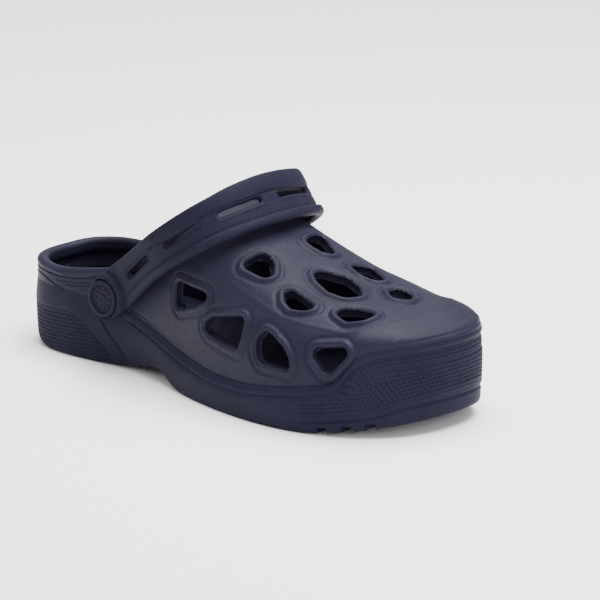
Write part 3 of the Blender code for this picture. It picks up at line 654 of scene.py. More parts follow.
def upper_relief(p, q, side, fox, rim_gap, vent):
    d = np.zeros(len(p))
    x, z = p[:, 0], p[:, 2]
    rear = 1 - step(x, 76, 92)
    # rolled collar lip: over the heel its lower edge follows its own line, further forward it is a constant width
    front_lip = 1 - step(rim_gap, 4.2, 6.8)
    heel_lip = step(z, line_z(x, LIP_LINE) - 0.9, line_z(x, LIP_LINE) + 0.5)
    d += 0.9 * front_lip * (1 - rear) - 1.5 * heel_lip * rear
    d += -0.35 * hump(rim_gap, 7.4, 0.9) * (1 - rear) + 0.3 * hump(z, line_z(x, LIP_LINE) - 1.3, 1.0) * rear
    d += 0.3 * (1 - step(rim_gap, 10.6, 11.6)) * (1 - rear) * (1 - front_lip)
    # heel wedge: two fine grooves with rows of dimples between them
    near_eye = 1 - step(x, 66.5, 68.5)
    d += -0.45 * hump(z, line_z(x, BAND_LINE), 0.65) * near_eye
    d += -0.55 * hump(z, line_z(x, LOW_LINE), 0.75) * (1 - step(x, 71, 73))
    for k, start in ((1, 34.0), (2, 42.0), (3, 52.0)):
        zr = line_z(x, BAND_LINE) - 0.6 - 1.9 * k
        on = step(x, start - 0.8, start + 0.8) * near_eye
        du = (x / 2.3 - 0.5 * (k % 2)) - np.round(x / 2.3 - 0.5 * (k % 2))
        r = np.sqrt((du * 2.3) ** 2 + (z - zr) ** 2)
        d += -0.55 * np.clip(1 - (r / 0.85) ** 2, 0, 1) * on
    # double groove just above the foxing line, from the waist forward
    d += -0.45 * hump(fox, 3.1, 0.8) * step(x, 84, 92) * (1 - step(x, 228, 240))
    # vents: bevelled edge, bead, fine groove
    d += -0.9 * (1 - step(vent, -0.5, 1.2))
    d += 0.95 * hump(vent, 2.0, 1.5) + 0.4 * (1 - step(vent, 3.0, 4.4))
    d += -0.75 * hump(vent, 4.9, 1.35)
    return d


CREASE = [(112, -33, 86), (130, -37, 82), (150, -40, 76), (172, -43.4, 69), (190, -46, 64), (208, -47.5, 59.5), (225, -47, 57),
          (240, -44, 56.7), (254, -40, 57), (263, -31, 58), (268, -16, 59), (270.5, 0, 59.3), (270, 14, 59.2),
          (266, 29, 58.5), (254, 40, 57.5), (236, 44, 58), (212, 44, 60.5), (188, 41, 66), (162, 36, 74)]


def crease(p):
    """The soft edge between the top panel and the sides, round the toe: a line laid on the skin."""
    line = open_spline(CREASE, 420)
    snapped = line.copy()
    for k in range(len(line)):
        snapped[k] = p[int(np.argmin(((p - line[k]) ** 2).sum(1)))]
    for _ in range(40):
        snapped[1:-1] = (snapped[:-2] + 2 * snapped[1:-1] + snapped[2:]) / 4
    gap = nearest_gap(p, snapped)
    x = p[:, 0]
    fade = step(x, 128, 170) * (1 - 0.45 * step(x, 235, 262))
    return (0.42 * hump(gap, 0, 1.7)) * fade


def smooth_edges(v, tris, rounds):
    """Evens out the open edges of a skin, each point toward its two neighbours on the edge."""
    e = boundary_edges(tris)
    count = np.zeros(len(v))
    np.add.at(count, e.ravel(), 1)
    on = count == 2
    for _ in range(rounds):
        total = np.zeros_like(v)
        np.add.at(total, e[:, 0], v[e[:, 1]])
        np.add.at(total, e[:, 1], v[e[:, 0]])
        v[on] = 0.5 * v[on] + 0.25 * total[on]


def build_upper(material):
    rows = 84

    def spacing(x, q):
        s = np.full_like(x, 0.95)
        s -= 0.42 * (step(x, 28, 33) * (1 - step(x, 68, 71)))
        s -= 0.60 * hump(x, 136.5, 7) * (x < 140.5)
        s -= 0.35 * hump(x, 146, 8) * (x >= 140.5)
        return s
    q = shares_by_spacing(spacing)
    n = len(q)
    closed = q >= Q_THROAT - 1e-12
    skirt = 6                                   # rows below the foxing line, behind the sole
    verts, arr, grid, offset = [], [], {}, 0
    for side in (-1, 1):
        xm = middle_x(q)
        low = 0.5 + (2.3 * step(xm, 2, 40) if side < 0 else 1.0 - step(q, 0, 0.07) + 1.4 * step(xm, 18, 44))
        trim = low * (1 - step(xm, 84, 128)) + 0.4 * step(xm, 84, 128) * (1 - step(xm, 128, 139))
        pts, th, total = column_points(side, q, rows, trim)
        o = half(side, q)
        nn = half_normal(side, q)
        down = []
        for k in range(skirt, 0, -1):
            e = pts[:, 0] - np.concatenate([nn * (0.12 * k), np.full((n, 1), 0.8 * k)], 1)
            down.append(e)
        block = np.concatenate([np.stack(down, 1), pts], 1)
        r = block.shape[1]
        verts.append(block.reshape(-1, 3))
        fox = np.concatenate([np.tile(-0.8 * np.arange(skirt, 0, -1), (n, 1)),
                              np.linspace(0, 1, rows + 1)[None, :] * total[:, None]], 1)
        thb = np.concatenate([np.zeros((n, skirt)), th], 1)
        arr.append([fox.ravel(), thb.ravel(), np.repeat(q, r), np.full(n * r, side)])
        grid[side] = np.arange(n * r).reshape(n, r) + offset
        offset += n * r
    v = np.vstack(verts)
    fox, th, qv, sv = [np.concatenate([a[k] for a in arr]) for k in range(4)]
    med = grid[1].copy()
    med[0], med[-1] = grid[-1][0], grid[-1][-1]
    med[closed, -1] = grid[-1][closed, -1]
    quads = []
    for side, g in ((-1, grid[-1]), (1, med)):
        a, b, c, d = g[:-1, :-1], g[1:, :-1], g[1:, 1:], g[:-1, 1:]
        qd = np.stack([a, b, c, d], -1).reshape(-1, 4)
        quads.append(qd if side < 0 else qd[:, ::-1])
    tris = quads_to_tris(np.vstack(quads), v)
    used = np.zeros(len(v), bool)
    used[tris.ravel()] = True
    remap = np.cumsum(used) - 1
    v, fox, th, qv, sv = v[used], fox[used], th[used], qv[used], sv[used]
    tris = remap[tris]
    normal = face_normals_to_vertices(v, tris)
    if (normal[:, 2] * (v[:, 2] > 60)).sum() < 0:
        tris = tris[:, ::-1]
        normal = -normal
    edge = np.unique(boundary_edges(tris))
    rim_curve = v[edge[v[edge, 2] > 44]]
    rim_gap = nearest_gap(v, rim_curve)
    vent = vent_fields(v, th, qv, sv)
    relief = upper_relief(v, qv, sv, fox, rim_gap, vent) + crease(v)
    relief *= step(fox, -0.1, 0.8)
    outer = v + normal * relief[:, None]
    roll = (1 - step(rim_gap, 3.0, 8.0)) * (1 - step(v[:, 0], 96, 128))
    inner = v - normal * (SKIN + 2.0 * roll)[:, None]
    amp = np.where(rim_gap < 1.0, 2.6, np.where(fox < 0.5, 0.0, -0.7))
    packed = np.concatenate([inner, normal, amp[:, None], rim_gap[:, None]], 1)
    outer, tris, f, (packed,) = cut_mesh(outer, tris, vent, [packed])
    inner, normal, amp = packed[:, :3], packed[:, 3:6], packed[:, 6]
    normal /= np.linalg.norm(normal, axis=1)[:, None]
    for skin in (outer, inner):
        smooth_edges(skin, tris, 6)
    v2, t2 = close_shell(outer, inner, normal, tris, amp, np.full(len(outer), 2.0), 8)
    print("upper", len(v2), len(t2))
    ob = add_mesh("clog_upper", v2, t2, material, "clog", replaces=("clog_body",))
    group = ob.vertex_groups.new(name="inner")
    behind = outer[:, 0] < 104                  # the heel cup's inside is in plain view, so it keeps a finer mesh
    group.add([int(i) + len(outer) for i in np.flatnonzero(~behind)], 1.0, "REPLACE")
    group.add([int(i) + len(outer) for i in np.flatnonzero(behind)], 0.35, "REPLACE")
    return ob


def thin_inside(ob, target):
    """Coarser triangles on the hidden inner skin only."""
    count = len(ob.data.polygons)
    if count <= target:
        return
    m = ob.modifiers.new("thin", "DECIMATE")
    m.vertex_group = "inner"
    m.vertex_group_factor = 40
    m.ratio = target / count
    bpy.context.view_layer.update()
    dg = bpy.context.evaluated_depsgraph_get()
    me = bpy.data.meshes.new_from_object(ob.evaluated_get(dg))
    ob.modifiers.clear()
    old = ob.data
    ob.data = me
    bpy.data.meshes.remove(old)
    print("thinned", count, len(me.polygons))


# ---------------------------------------------------------------- sole
PANEL_LINE = [(0, 24.5), (22, 25.0), (33, 25.8), (43.5, 26.6), (50, 25.5), (56, 22.0), (63, 16.5), (69, 11.6), (76, 5.0)]


def sole_inset(side, o, zb, ze, z):
    """How far inside the plan outline the side wall is at height z."""
    tuck = ease(o[..., 0], TUCK_X, TUCK)
    mid = zb + (ze - zb) * 0.6
    up = np.clip((z - mid) / (ze - mid), 0, 1)
    low = np.clip((z - (zb + 4.5)) / (mid - zb - 4.5), 0, 1)
    inset = np.where(z > mid, tuck * up ** 1.6, 0.6 * (1 - low) ** 2)
    t = np.clip((zb + 4.5 - z) / 4.5, 0, 1)
    tight = 2.9 - 1.5 * step(o[..., 0], 96, 140)
    return np.where(t > 0, 0.6 + tight * (1 - np.sqrt(1 - t * t)), inset)


def toe_edges(x, side):
    """Heights of the bumper's lower bead and of its recess, past the ball of the foot."""
    bead = np.interp(x, [222, 236, 268, 281, 289], [8.2, 8.9, 13.8, 19.1, 21.9])
    return bead, bead - np.interp(x, [236, 281, 289], [2.4, 2.9, 3.8])


def sole_relief(x, z, arc, ze, zb, side):
    """Outward relief (mm) of the side wall; arc is the distance along the outline from the heel."""
    d = np.zeros_like(z)
    # heel panel: recessed field of dimples under a shallow groove
    panel = np.interp(x, [p[0] for p in PANEL_LINE], [p[1] for p in PANEL_LINE])
    inside = step(panel - z, 0.4, 1.2) * (1 - step(x, 74, 76)) * step(z, zb + 1.5, zb + 2.6)
    d += -0.45 * hump(z, panel, 0.8) * (1 - step(x, 76, 80))
    slope = z - 0.06 * arc
    d += -0.2 * inside - 0.8 * dimples(arc, slope, 2.5, 2.2, 0.85) * inside
    # line from under the strap eye down to the ground
    cx = np.interp(z, [4, 10.3, 20.4, 25.7, 30], [90, 83.5, 73.5, 69, 66.5])
    d += -0.7 * hump(x, cx, 1.5) * (1 - step(z, 25, 28))
    # ledge and groove along the top edge forward of the waist
    mid = step(x, 84, 92)
    d += (0.9 - 0.4 * step(x, 236, 262)) * mid * (1 - step(ze - z, 2.4, 3.6))
    d += -0.35 * hump(ze - z, 4.2, 0.8) * mid * (1 - step(x, 226, 238))
    # toe bumper: ridge along its top edge, rows of dimples, fine ridges round the end, beads along the bottom
    toe = step(x, 238, 252)
    e = ze - z
    d += toe * (0.3 * hump(e, 1.5, 1.6) - 0.28 * hump(e, 3.7, 0.8) - 0.2 * step(e, 3.4, 4.4))
    bead, recess = toe_edges(x, side)
    b = z - bead
    upper_rows = e < 0.55 * (ze - bead)
    dist = np.where(upper_rows, e - 5.2, b - 3.2)
    k = np.round(dist / 2.15)
    du = arc / 2.7 - 0.5 * np.mod(np.abs(k), 2)
    du -= np.round(du)
    r = np.hypot(du * 2.7, dist - k * 2.15)
    studs = np.clip(1 - (r / 0.95) ** 2, 0, 1)
    field = step(e, 4.0, 4.8) * step(b, 1.8, 2.8) * np.where(upper_rows, step(x, 247, 253), step(x, 230, 236))
    d += -0.6 * studs * field
    d += 0.2 * (0.5 - 0.5 * np.cos(2 * math.pi * dist / 2.15)) * field * step(x, 264, 278)
    d += -0.5 * hump(z, np.interp(x, [273, 289], [37.2, 38.7]), 1.1) * step(x, 270, 276)
    low = step(x, 226, 240)
    d += low * (0.38 * hump(z, bead, 0.9) + 0.28 * hump(z, bead + 1.9, 0.8) - 0.75 * hump(z, recess, 1.4))
    return d


def build_sole(material):
    rows = 74

    def spacing(x, q):
        s = np.full_like(x, 1.5)
        s = np.where(x < 74, 0.54, s)
        s = np.where(x > 228, 0.58, s)
        return s
    q = shares_by_spacing(spacing)
    n = len(q)
    cols = {}
    for side in (-1, 1):
        o = half(side, q)
        nn = half_normal(side, q)
        arc = q * ARC[side][-1]
        ze = ease(o[:, 0], FOXING_X, FOXING_Z[side])
        zb = ground((o - nn * SOLE_INSET)[:, 0])
        t = np.linspace(0, 1, rows + 1)[None, :]
        # even steps down the wall, then round the bottom edge
        ang = np.clip((t - 0.93) / 0.07, 0, 1) * math.pi / 2
        straight = np.clip(t / 0.93, 0, 1)
        z = np.where(t <= 0.93, ze[:, None] - (ze - zb - 4.5)[:, None] * straight, zb[:, None] + 4.5 * (1 - np.sin(ang)))
        ins = sole_inset(side, o[:, None, :], zb[:, None], ze[:, None], z)
        rel = sole_relief(np.broadcast_to(o[:, None, 0], z.shape), z, np.broadcast_to(arc[:, None], z.shape),
                          ze[:, None], zb[:, None], side)
        lift = np.where(t < 0.93, 1, 1 - ang / (math.pi / 2))
        rel = rel * lift
        xy = o[:, None, :] - nn[:, None, :] * (ins - rel)[..., None]
        wall = np.concatenate([xy, z[..., None]], -1)
        mid = step(o[:, 0], 84, 92)
        tuck = ease(o[:, 0], TUCK_X, TUCK)
        # rounded top edge, then the inner wall down to the bed
        top = []
        for up, go in ((0.35 + 0.35 * mid, 0.25 + 0.0 * mid), (0.45 + 0.55 * mid, 0.8 + 0.2 * mid)):
            pt = o - nn * (tuck - (0.9 - 0.4 * step(o[:, 0], 236, 262)) * mid + go)[:, None]
            top.append(np.concatenate([pt, (ze + up)[:, None]], 1))
        top = top[::-1]
        inner = []
        e_bed = o - nn * (tuck + 4.4)[:, None]
        zf = bed(e_bed[:, 0])
        for s in (0.0, 0.33, 0.66, 1.0):
            g = 1.5 + 2.1 * min(1, s * 3)
            pt = o - nn * (tuck + g)[:, None]
            zz = (ze - 0.5) + (zf - ze + 0.5) * s
            inner.append(np.concatenate([pt, zz[:, None]], 1))
        inner = inner[::-1]
        cols[side] = np.concatenate([np.stack(inner, 1), np.stack(top, 1), wall], 1)
    r = cols[-1].shape[1]
    v = np.vstack([cols[-1].reshape(-1, 3), cols[1].reshape(-1, 3)])
    g = {-1: np.arange(n * r).reshape(n, r), 1: np.arange(n * r).reshape(n, r) + n * r}
    g[1][0], g[1][-1] = g[-1][0], g[-1][-1]
    quads = []
    for side in (-1, 1):
        a, b, c, d = g[side][:-1, :-1], g[side][1:, :-1], g[side][1:, 1:], g[side][:-1, 1:]
        qd = np.stack([a, b, c, d], -1).reshape(-1, 4)
        quads.append(qd if side < 0 else qd[:, ::-1])
    extra = []
    count = len(v)
    across = 16
    for row, height_at, flip in ((r - 1, ground, False), (0, bed, True)):
        lines = []
        for j in range(n):
            l, m = g[-1][j, row], g[1][j, row]
            if l == m:
                lines.append([l] * (across + 1))
                continue
            t = np.linspace(0, 1, across + 1)[1:-1, None]
            p = v[l] + (v[m] - v[l]) * t
            p[:, 2] = height_at(p[:, 0])
            extra.append(p)
            lines.append([l] + list(range(count, count + across - 1)) + [m])
            count += across - 1
        line = np.array(lines)
        a, b, c, d = line[:-1, :-1], line[1:, :-1], line[1:, 1:], line[:-1, 1:]
        qd = np.stack([a, b, c, d], -1).reshape(-1, 4)
        quads.append(qd if flip else qd[:, ::-1])
    v = np.vstack([v] + extra)
    quads = np.vstack(quads)
    tris = quads_to_tris(quads)
    # keep one winding throughout: split along the first diagonal only
    used = np.zeros(len(v), bool)
    used[tris.ravel()] = True
    remap = np.cumsum(used) - 1
    v, tris = v[used], remap[tris]
    print("sole", len(v), len(tris))
    ob = add_mesh("clog_sole", v, tris, material, None)
    bm = bmesh.new()
    for x, turn, length in TREAD:
        deep = float(ground(x)) + TREAD_DEPTH
        made = bmesh.ops.create_cube(bm, size=1.0)["verts"]
        bmesh.ops.scale(bm, verts=made, vec=(0.0052, length * 0.001, (deep + 5) * 0.001))
        bmesh.ops.rotate(bm, verts=made, cent=(0, 0, 0), matrix=Matrix.Rotation(math.radians(turn), 3, "Z"))
        bmesh.ops.translate(bm, verts=made, vec=((x - X0) * 0.001, 0, (deep - 5) / 2 * 0.001))
        edges = list({e for vv in made for e in vv.link_edges if abs(e.verts[0].co.z - e.verts[1].co.z) > 0.004})
        bmesh.ops.bevel(bm, geom=edges, offset=0.0012, segments=4, affect="EDGES", profile=0.5)
    cutter_mesh = bpy.data.meshes.new("tread_cutter")
    bm.to_mesh(cutter_mesh)
    bm.free()
    cutter = bpy.data.objects.new("tread_cutter", cutter_mesh)
    bpy.context.scene.collection.objects.link(cutter)
    m = ob.modifiers.new("tread", "BOOLEAN")
    m.operation = "DIFFERENCE"
    m.solver = "EXACT"
    m.object = cutter
    bpy.context.view_layer.update()
    dg = bpy.context.evaluated_depsgraph_get()
    me = bpy.data.meshes.new_from_object(ob.evaluated_get(dg))
    ob.modifiers.clear()
    old = ob.data
    ob.data = me
    bpy.data.meshes.remove(old)
    bpy.data.objects.remove(cutter)
    me.shade_smooth()
    me.set_sharp_from_angle(angle=math.radians(42))
    print("sole after tread", sum(len(p.vertices) - 2 for p in me.polygons))
    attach(ob, "clog")
    return ob


# ---------------------------------------------------------------- insole
def build_insole(material):
    q = np.concatenate([[0.022, 0.03, 0.04], np.linspace(0.05, 0.965, 300), [0.972, 0.978, 0.984]])
    n = len(q)
    ends = {}
    for side in (-1, 1):
        o = half(side, q)
        ends[side] = o - half_normal(side, q) * (ease(o[:, 0], TUCK_X, TUCK) + WALL + INSOLE_GAP + 0.9)[:, None]
    m = 90
    t = np.linspace(0, 1, m + 1)[None, :, None]
    xy = ends[-1][:, None, :] + (ends[1] - ends[-1])[:, None, :] * t
    base = bed(xy[..., 0]) + INSOLE_GAP
    width = np.linalg.norm(ends[1] - ends[-1], axis=1)[:, None]
    edge = np.minimum(t[..., 0] * width, (1 - t[..., 0]) * width)
    lead = np.minimum(xy[..., 0] - xy[..., 0].min(), xy[..., 0].max() - xy[..., 0])
    edge = np.minimum(edge, lead)
    z = base + INSOLE_T
    u, v = xy[..., 0], xy[..., 1]
    # oval nubs in staggered rows, inside a smooth border with a fine groove
    row = np.round(v / 7.5)
    shift = np.where(np.mod(row, 2) > 0.5, 0.5, 0.0)
    du = (u / 11.0 - shift) - np.round(u / 11.0 - shift)
    rr = np.sqrt((du * 11.0 / 1.4) ** 2 + (v - row * 7.5) ** 2)
    nub = np.sqrt(np.clip(1 - (rr / 2.6) ** 2, 0, 1))
    z = z + 1.3 * nub * step(edge, 6.4, 7.6) - 0.5 * hump(edge, 4.6, 0.9)
    z = z - 1.2 * (1 - step(edge, 0, 2.2)) ** 2
    z = z + 1.6 * (1 - step(edge, 0.5, 7.0)) * 0.5
    top = np.concatenate([xy, z[..., None]], -1).reshape(-1, 3)
    bottom = np.concatenate([xy, (base + 0.05)[..., None]], -1).reshape(-1, 3)
    g = np.arange(n * (m + 1)).reshape(n, m + 1)
    a, b, c, d = g[:-1, :-1], g[1:, :-1], g[1:, 1:], g[:-1, 1:]
    tris = quads_to_tris(np.stack([a, b, c, d], -1).reshape(-1, 4))
    up = np.tile([0.0, 0.0, 1.0], (len(top), 1))
    vv, tt = close_shell(top, bottom, up, tris, np.full(len(top), 0.25), np.full(len(top), 2.0), 4)
    print("insole", len(tt))
    ob = add_mesh("insole", vv, tt, material, "clog", replaces=("footbed_insole",))
    group = ob.vertex_groups.new(name="inner")
    group.add([int(i) for i in range(len(top), 2 * len(top))], 1.0, "REPLACE")
    return ob


# ---------------------------------------------------------------- strap
REST = math.radians(STRAP_REST_DEG)
ALONG = np.array([math.cos(REST), 0, math.sin(REST)])
ACROSS = np.array([-math.sin(REST), 0, math.cos(REST)])
PIVOT = np.array([PIVOT_X, 0, PIVOT_Z])
SLOTS = [(0.088, 0.178), (0.236, 0.330), (0.364, 0.467), (0.510, 0.620), (0.650, 0.744), (0.802, 0.892)]
SLOT_HALF = 2.1


def build_strap(material):
    path = open_spline(STRAP_SPINE, 1600)
    seg = np.concatenate([[0], np.cumsum(np.linalg.norm(np.diff(path, axis=0), axis=1))])
    length = seg[-1]
    tangent = np.gradient(path, seg, axis=0)
    for _ in range(12):
        tangent[1:-1] = (tangent[:-2] + tangent[1:-1] * 2 + tangent[2:]) / 4
    tangent /= np.linalg.norm(tangent, axis=1)[:, None]
    reach = EYE_R + 0.6
    s = np.linspace(-reach, length + reach, int((length + 2 * reach) / 0.62))
    w = np.linspace(min(BAND_FRONT) - 0.4, EYE_R + 0.5, 54)
    r = np.interp(s, seg, path[:, 0])
    y = np.interp(s, seg, path[:, 1])
    tr, ty = np.interp(s, seg, tangent[:, 0]), np.interp(s, seg, tangent[:, 1])
    flat = s < 0
    r[flat], y[flat], tr[flat], ty[flat] = s[flat], STRAP_SPINE[0][1], 1, 0
    flat = s > length
    r[flat], y[flat], tr[flat], ty[flat] = length - s[flat], STRAP_SPINE[-1][1], -1, 0
    lead = np.minimum(s, length - s)                      # distance past the nearer pivot
    near = lead < 14
    tr[near], ty[near] = np.sign(length / 2 - s[near]), 0
    nr, ny = ty, -tr
    S, W = np.meshgrid(s, w, indexing="ij")
    LEAD = np.minimum(S, length - S)
    g = np.clip(LEAD / 26.0, 0, 1)
    g = g * g * (3 - 2 * g)
    share = np.clip(S / length, 0, 1)
    rear = ease(share, BAND_SHARE, BAND_REAR)
    front = ease(share, BAND_SHARE, BAND_FRONT)
    row = ease(share, BAND_SHARE, SLOT_ROW)
    field = np.where(LEAD < 0, EYE_R - np.hypot(LEAD, W), np.minimum(rear - W, W - front))
    slot = np.full(S.shape, 30.0)
    half_w = SLOT_HALF
    for a, b in SLOTS:
        s0, s1 = a * length + half_w, b * length - half_w
        du = np.maximum(np.maximum(s0 - S, S - s1), 0)
        slot = np.minimum(slot, np.hypot(du, W - row) - half_w)
    # outer face: rolled front lip, flat front band with fine cross ribs, slot row, convex rear band
    t = np.clip((LEAD - 12) / 22, 0, 1)
    t = t * t * (3 - 2 * t)
    a = W - front
    h = np.full(S.shape, STRAP_T / 2)
    roll = np.sqrt(np.clip(1 - ((a - 2.9) / 3.1) ** 2, 0, 1))
    h += t * ((LIP_T - STRAP_T) * (1 - step(a, 4.4, 5.4)) * (0.55 + 0.45 * roll))
    h += -0.35 * t * hump(a, 6.0, 0.8)
    on = step(LEAD, 17, 26)
    # fine line under the slot row, deeper step line over it, smooth convex rear band
    h += -0.25 * on * hump(W, row - SLOT_HALF - 0.5, 0.6)
    top = row + SLOT_HALF + 0.9
    span = np.maximum(rear - top, 2.0)
    h += on * (0.9 * np.sqrt(np.clip(1 - ((W - (top + rear) / 2) / (span / 2)) ** 2, 0, 1)) * (W > top))
    h += -0.45 * on * hump(W, top - 0.1, 0.7)
    ribs = np.clip(np.cos(2 * math.pi * S / 2.9), 0.35, 1) - 0.35
    panel = step(a, 6.6, 7.2) * (1 - step(W, row - SLOT_HALF - 2.0, row - SLOT_HALF - 1.4)) * step(share, 0.40, 0.415) * (1 - step(share, 0.60, 0.615))
    h += -0.5 * ribs * panel
    h += -0.8 * (1 - step(slot, -0.2, 0.9)) ** 1.5 + 0.25 * hump(slot, 1.3, 0.9)
    # eye: a raised ring round the rivet head
    centre = np.hypot(np.where(LEAD < 16, LEAD, 60), W)
    ring = step(centre, 10.55, 10.95) * (1 - step(centre, 12.9, 14.6))
    h += 2.3 * ring - 0.5 * hump(centre, 15.2, 0.9) * (LEAD > 0)
    p = PIVOT + ALONG * r[:, None, None] + ACROSS * W[..., None]
    p[..., 1] = y[:, None]
    out = ALONG[None, :] * nr[:, None]
    out[:, 1] = ny
    if out[len(out) // 2, 0] < 0:
        out = -out
    outer = p + out[:, None, :] * h[..., None]
    inner = p - out[:, None, :] * (STRAP_T / 2)
    n, m = S.shape
    idx = np.arange(n * m).reshape(n, m)
    a4 = np.stack([idx[:-1, :-1], idx[1:, :-1], idx[1:, 1:], idx[:-1, 1:]], -1).reshape(-1, 4)
    tris = quads_to_tris(a4)
    outer, inner = outer.reshape(-1, 3), inner.reshape(-1, 3)
    normal = np.repeat(out, m, axis=0)
    hole = (HEAD_R + 0.25) - centre.ravel()               # the head sits in the eye; the shank hole is under it
    eye_hole = np.hypot(np.where(LEAD < 16, LEAD, 60), W).ravel() - (SHANK_R + HOLE_CLEAR)
    f = np.minimum(np.minimum(field.ravel(), slot.ravel()), eye_hole)
    thick = (h.ravel() + STRAP_T / 2) / 2
    amp = np.minimum(thick * 0.85, 1.9)
    amp = np.where(np.minimum(slot.ravel(), eye_hole) < 1.5, 0.45, amp)
    packed = np.concatenate([inner, normal, amp[:, None]], 1)
    # the rounded edge bulges outward, so the sheet is cut that much smaller
    shrink = np.where(np.minimum(slot.ravel(), eye_hole) < 1.5, 0.45, amp)
    outer, tris, f, (packed,) = cut_mesh(outer, tris, np.where(field.ravel() - amp < np.minimum(slot.ravel(), eye_hole), field.ravel() - amp, np.minimum(slot.ravel(), eye_hole) + 0.0), [packed])
    inner, normal, amp = packed[:, :3], packed[:, 3:6], packed[:, 6]
    face = face_normals_to_vertices(outer, tris)
    if (face * normal).sum() < 0:
        tris = tris[:, ::-1]
    v2, t2 = close_shell(outer, inner, normal, tris, amp, np.full(len(outer), 2.0), 8)
    print("strap", len(t2))
    return add_mesh("swing_strap", v2, t2, material, "strap", replaces=("heel_strap",), sharp=55)


# ---------------------------------------------------------------- rivet caps
def build_cap(name, side, material, node):
    strap_y = STRAP_SPINE[0][1] if side < 0 else STRAP_SPINE[-1][1]
    face = strap_y + side * (STRAP_T / 2 + 0.3)
    share = float(np.interp(PIVOT_X, HALF[side][:1600, 0], ARC[side][:1600] / ARC[side][-1]))
    skin = float(shell(side, share, 0.05)[1])
    tip = (skin - side * (WALL + 0.9) - side * (BACK_T + 0.6) - face) * side
    rr = np.linspace(0.02, HEAD_R, 74)
    ang = np.linspace(0, 2 * math.pi, 180, endpoint=False)
    R, A = np.meshgrid(rr, ang, indexing="ij")
    top = np.full(R.shape, HEAD_T - 1.1)
    top += 1.1 * step(R, 7.7, 8.4) - 0.9 * (1 - np.sqrt(np.clip(1 - ((R - 9.2) / 1.1) ** 2, 0, 1))) * (R > 9.2)
    top += 0.35 * hump(R, 6.9, 0.5)
    spokes = np.clip(np.cos(A * 10) * 1.6 - 0.6, 0, 1)
    top += 0.55 * spokes * step(R, 4.0, 4.5) * (1 - step(R, 6.0, 6.4))
    top += 0.6 * (1 - step(R, 2.4, 3.1)) - 0.3 * (1 - step(R, 0.9, 1.4))
    rings = [(R[i], top[i], ang) for i in range(len(rr))]
    lower = [(HEAD_R, HEAD_T - 2.2), (HEAD_R, 0.4), (HEAD_R - 0.4, 0.0), (SHANK_R + 0.3, 0.0), (SHANK_R, -0.3), (SHANK_R, tip + 0.5),
             (SHANK_R - 0.5, tip)]
    verts = []
    for rad, h, an in rings:
        verts.append(np.stack([rad * np.cos(an), h, rad * np.sin(an)], 1))
    for rad, h in lower:
        verts.append(np.stack([rad * np.cos(ang), np.full(len(ang), h), rad * np.sin(ang)], 1))
    v = np.vstack(verts)
    k = len(ang)
    g = np.arange(len(v)).reshape(-1, k)
    a, b = g[:-1], g[1:]
    quads = np.stack([a, b, np.roll(b, -1, 1), np.roll(a, -1, 1)], -1).reshape(-1, 4)
    tris = quads_to_tris(quads)
    first = np.array([[g[0][0], g[0][j], g[0][j + 1]] for j in range(1, k - 1)])
    last = np.array([[g[-1][0], g[-1][j + 1], g[-1][j]] for j in range(1, k - 1)])
    tris = np.vstack([tris, first, last])
    v = np.stack([v[:, 0] + PIVOT_X, face + side * v[:, 1], v[:, 2] + PIVOT_Z], 1)
    return add_mesh(name, v, tris, material, "clog", replaces=(node,), sharp=50)


# ---------------------------------------------------------------- finishes
def node(nt, kind, **values):
    n = nt.nodes.new(kind)
    for key, val in values.items():
        setattr(n, key, val)
    return n


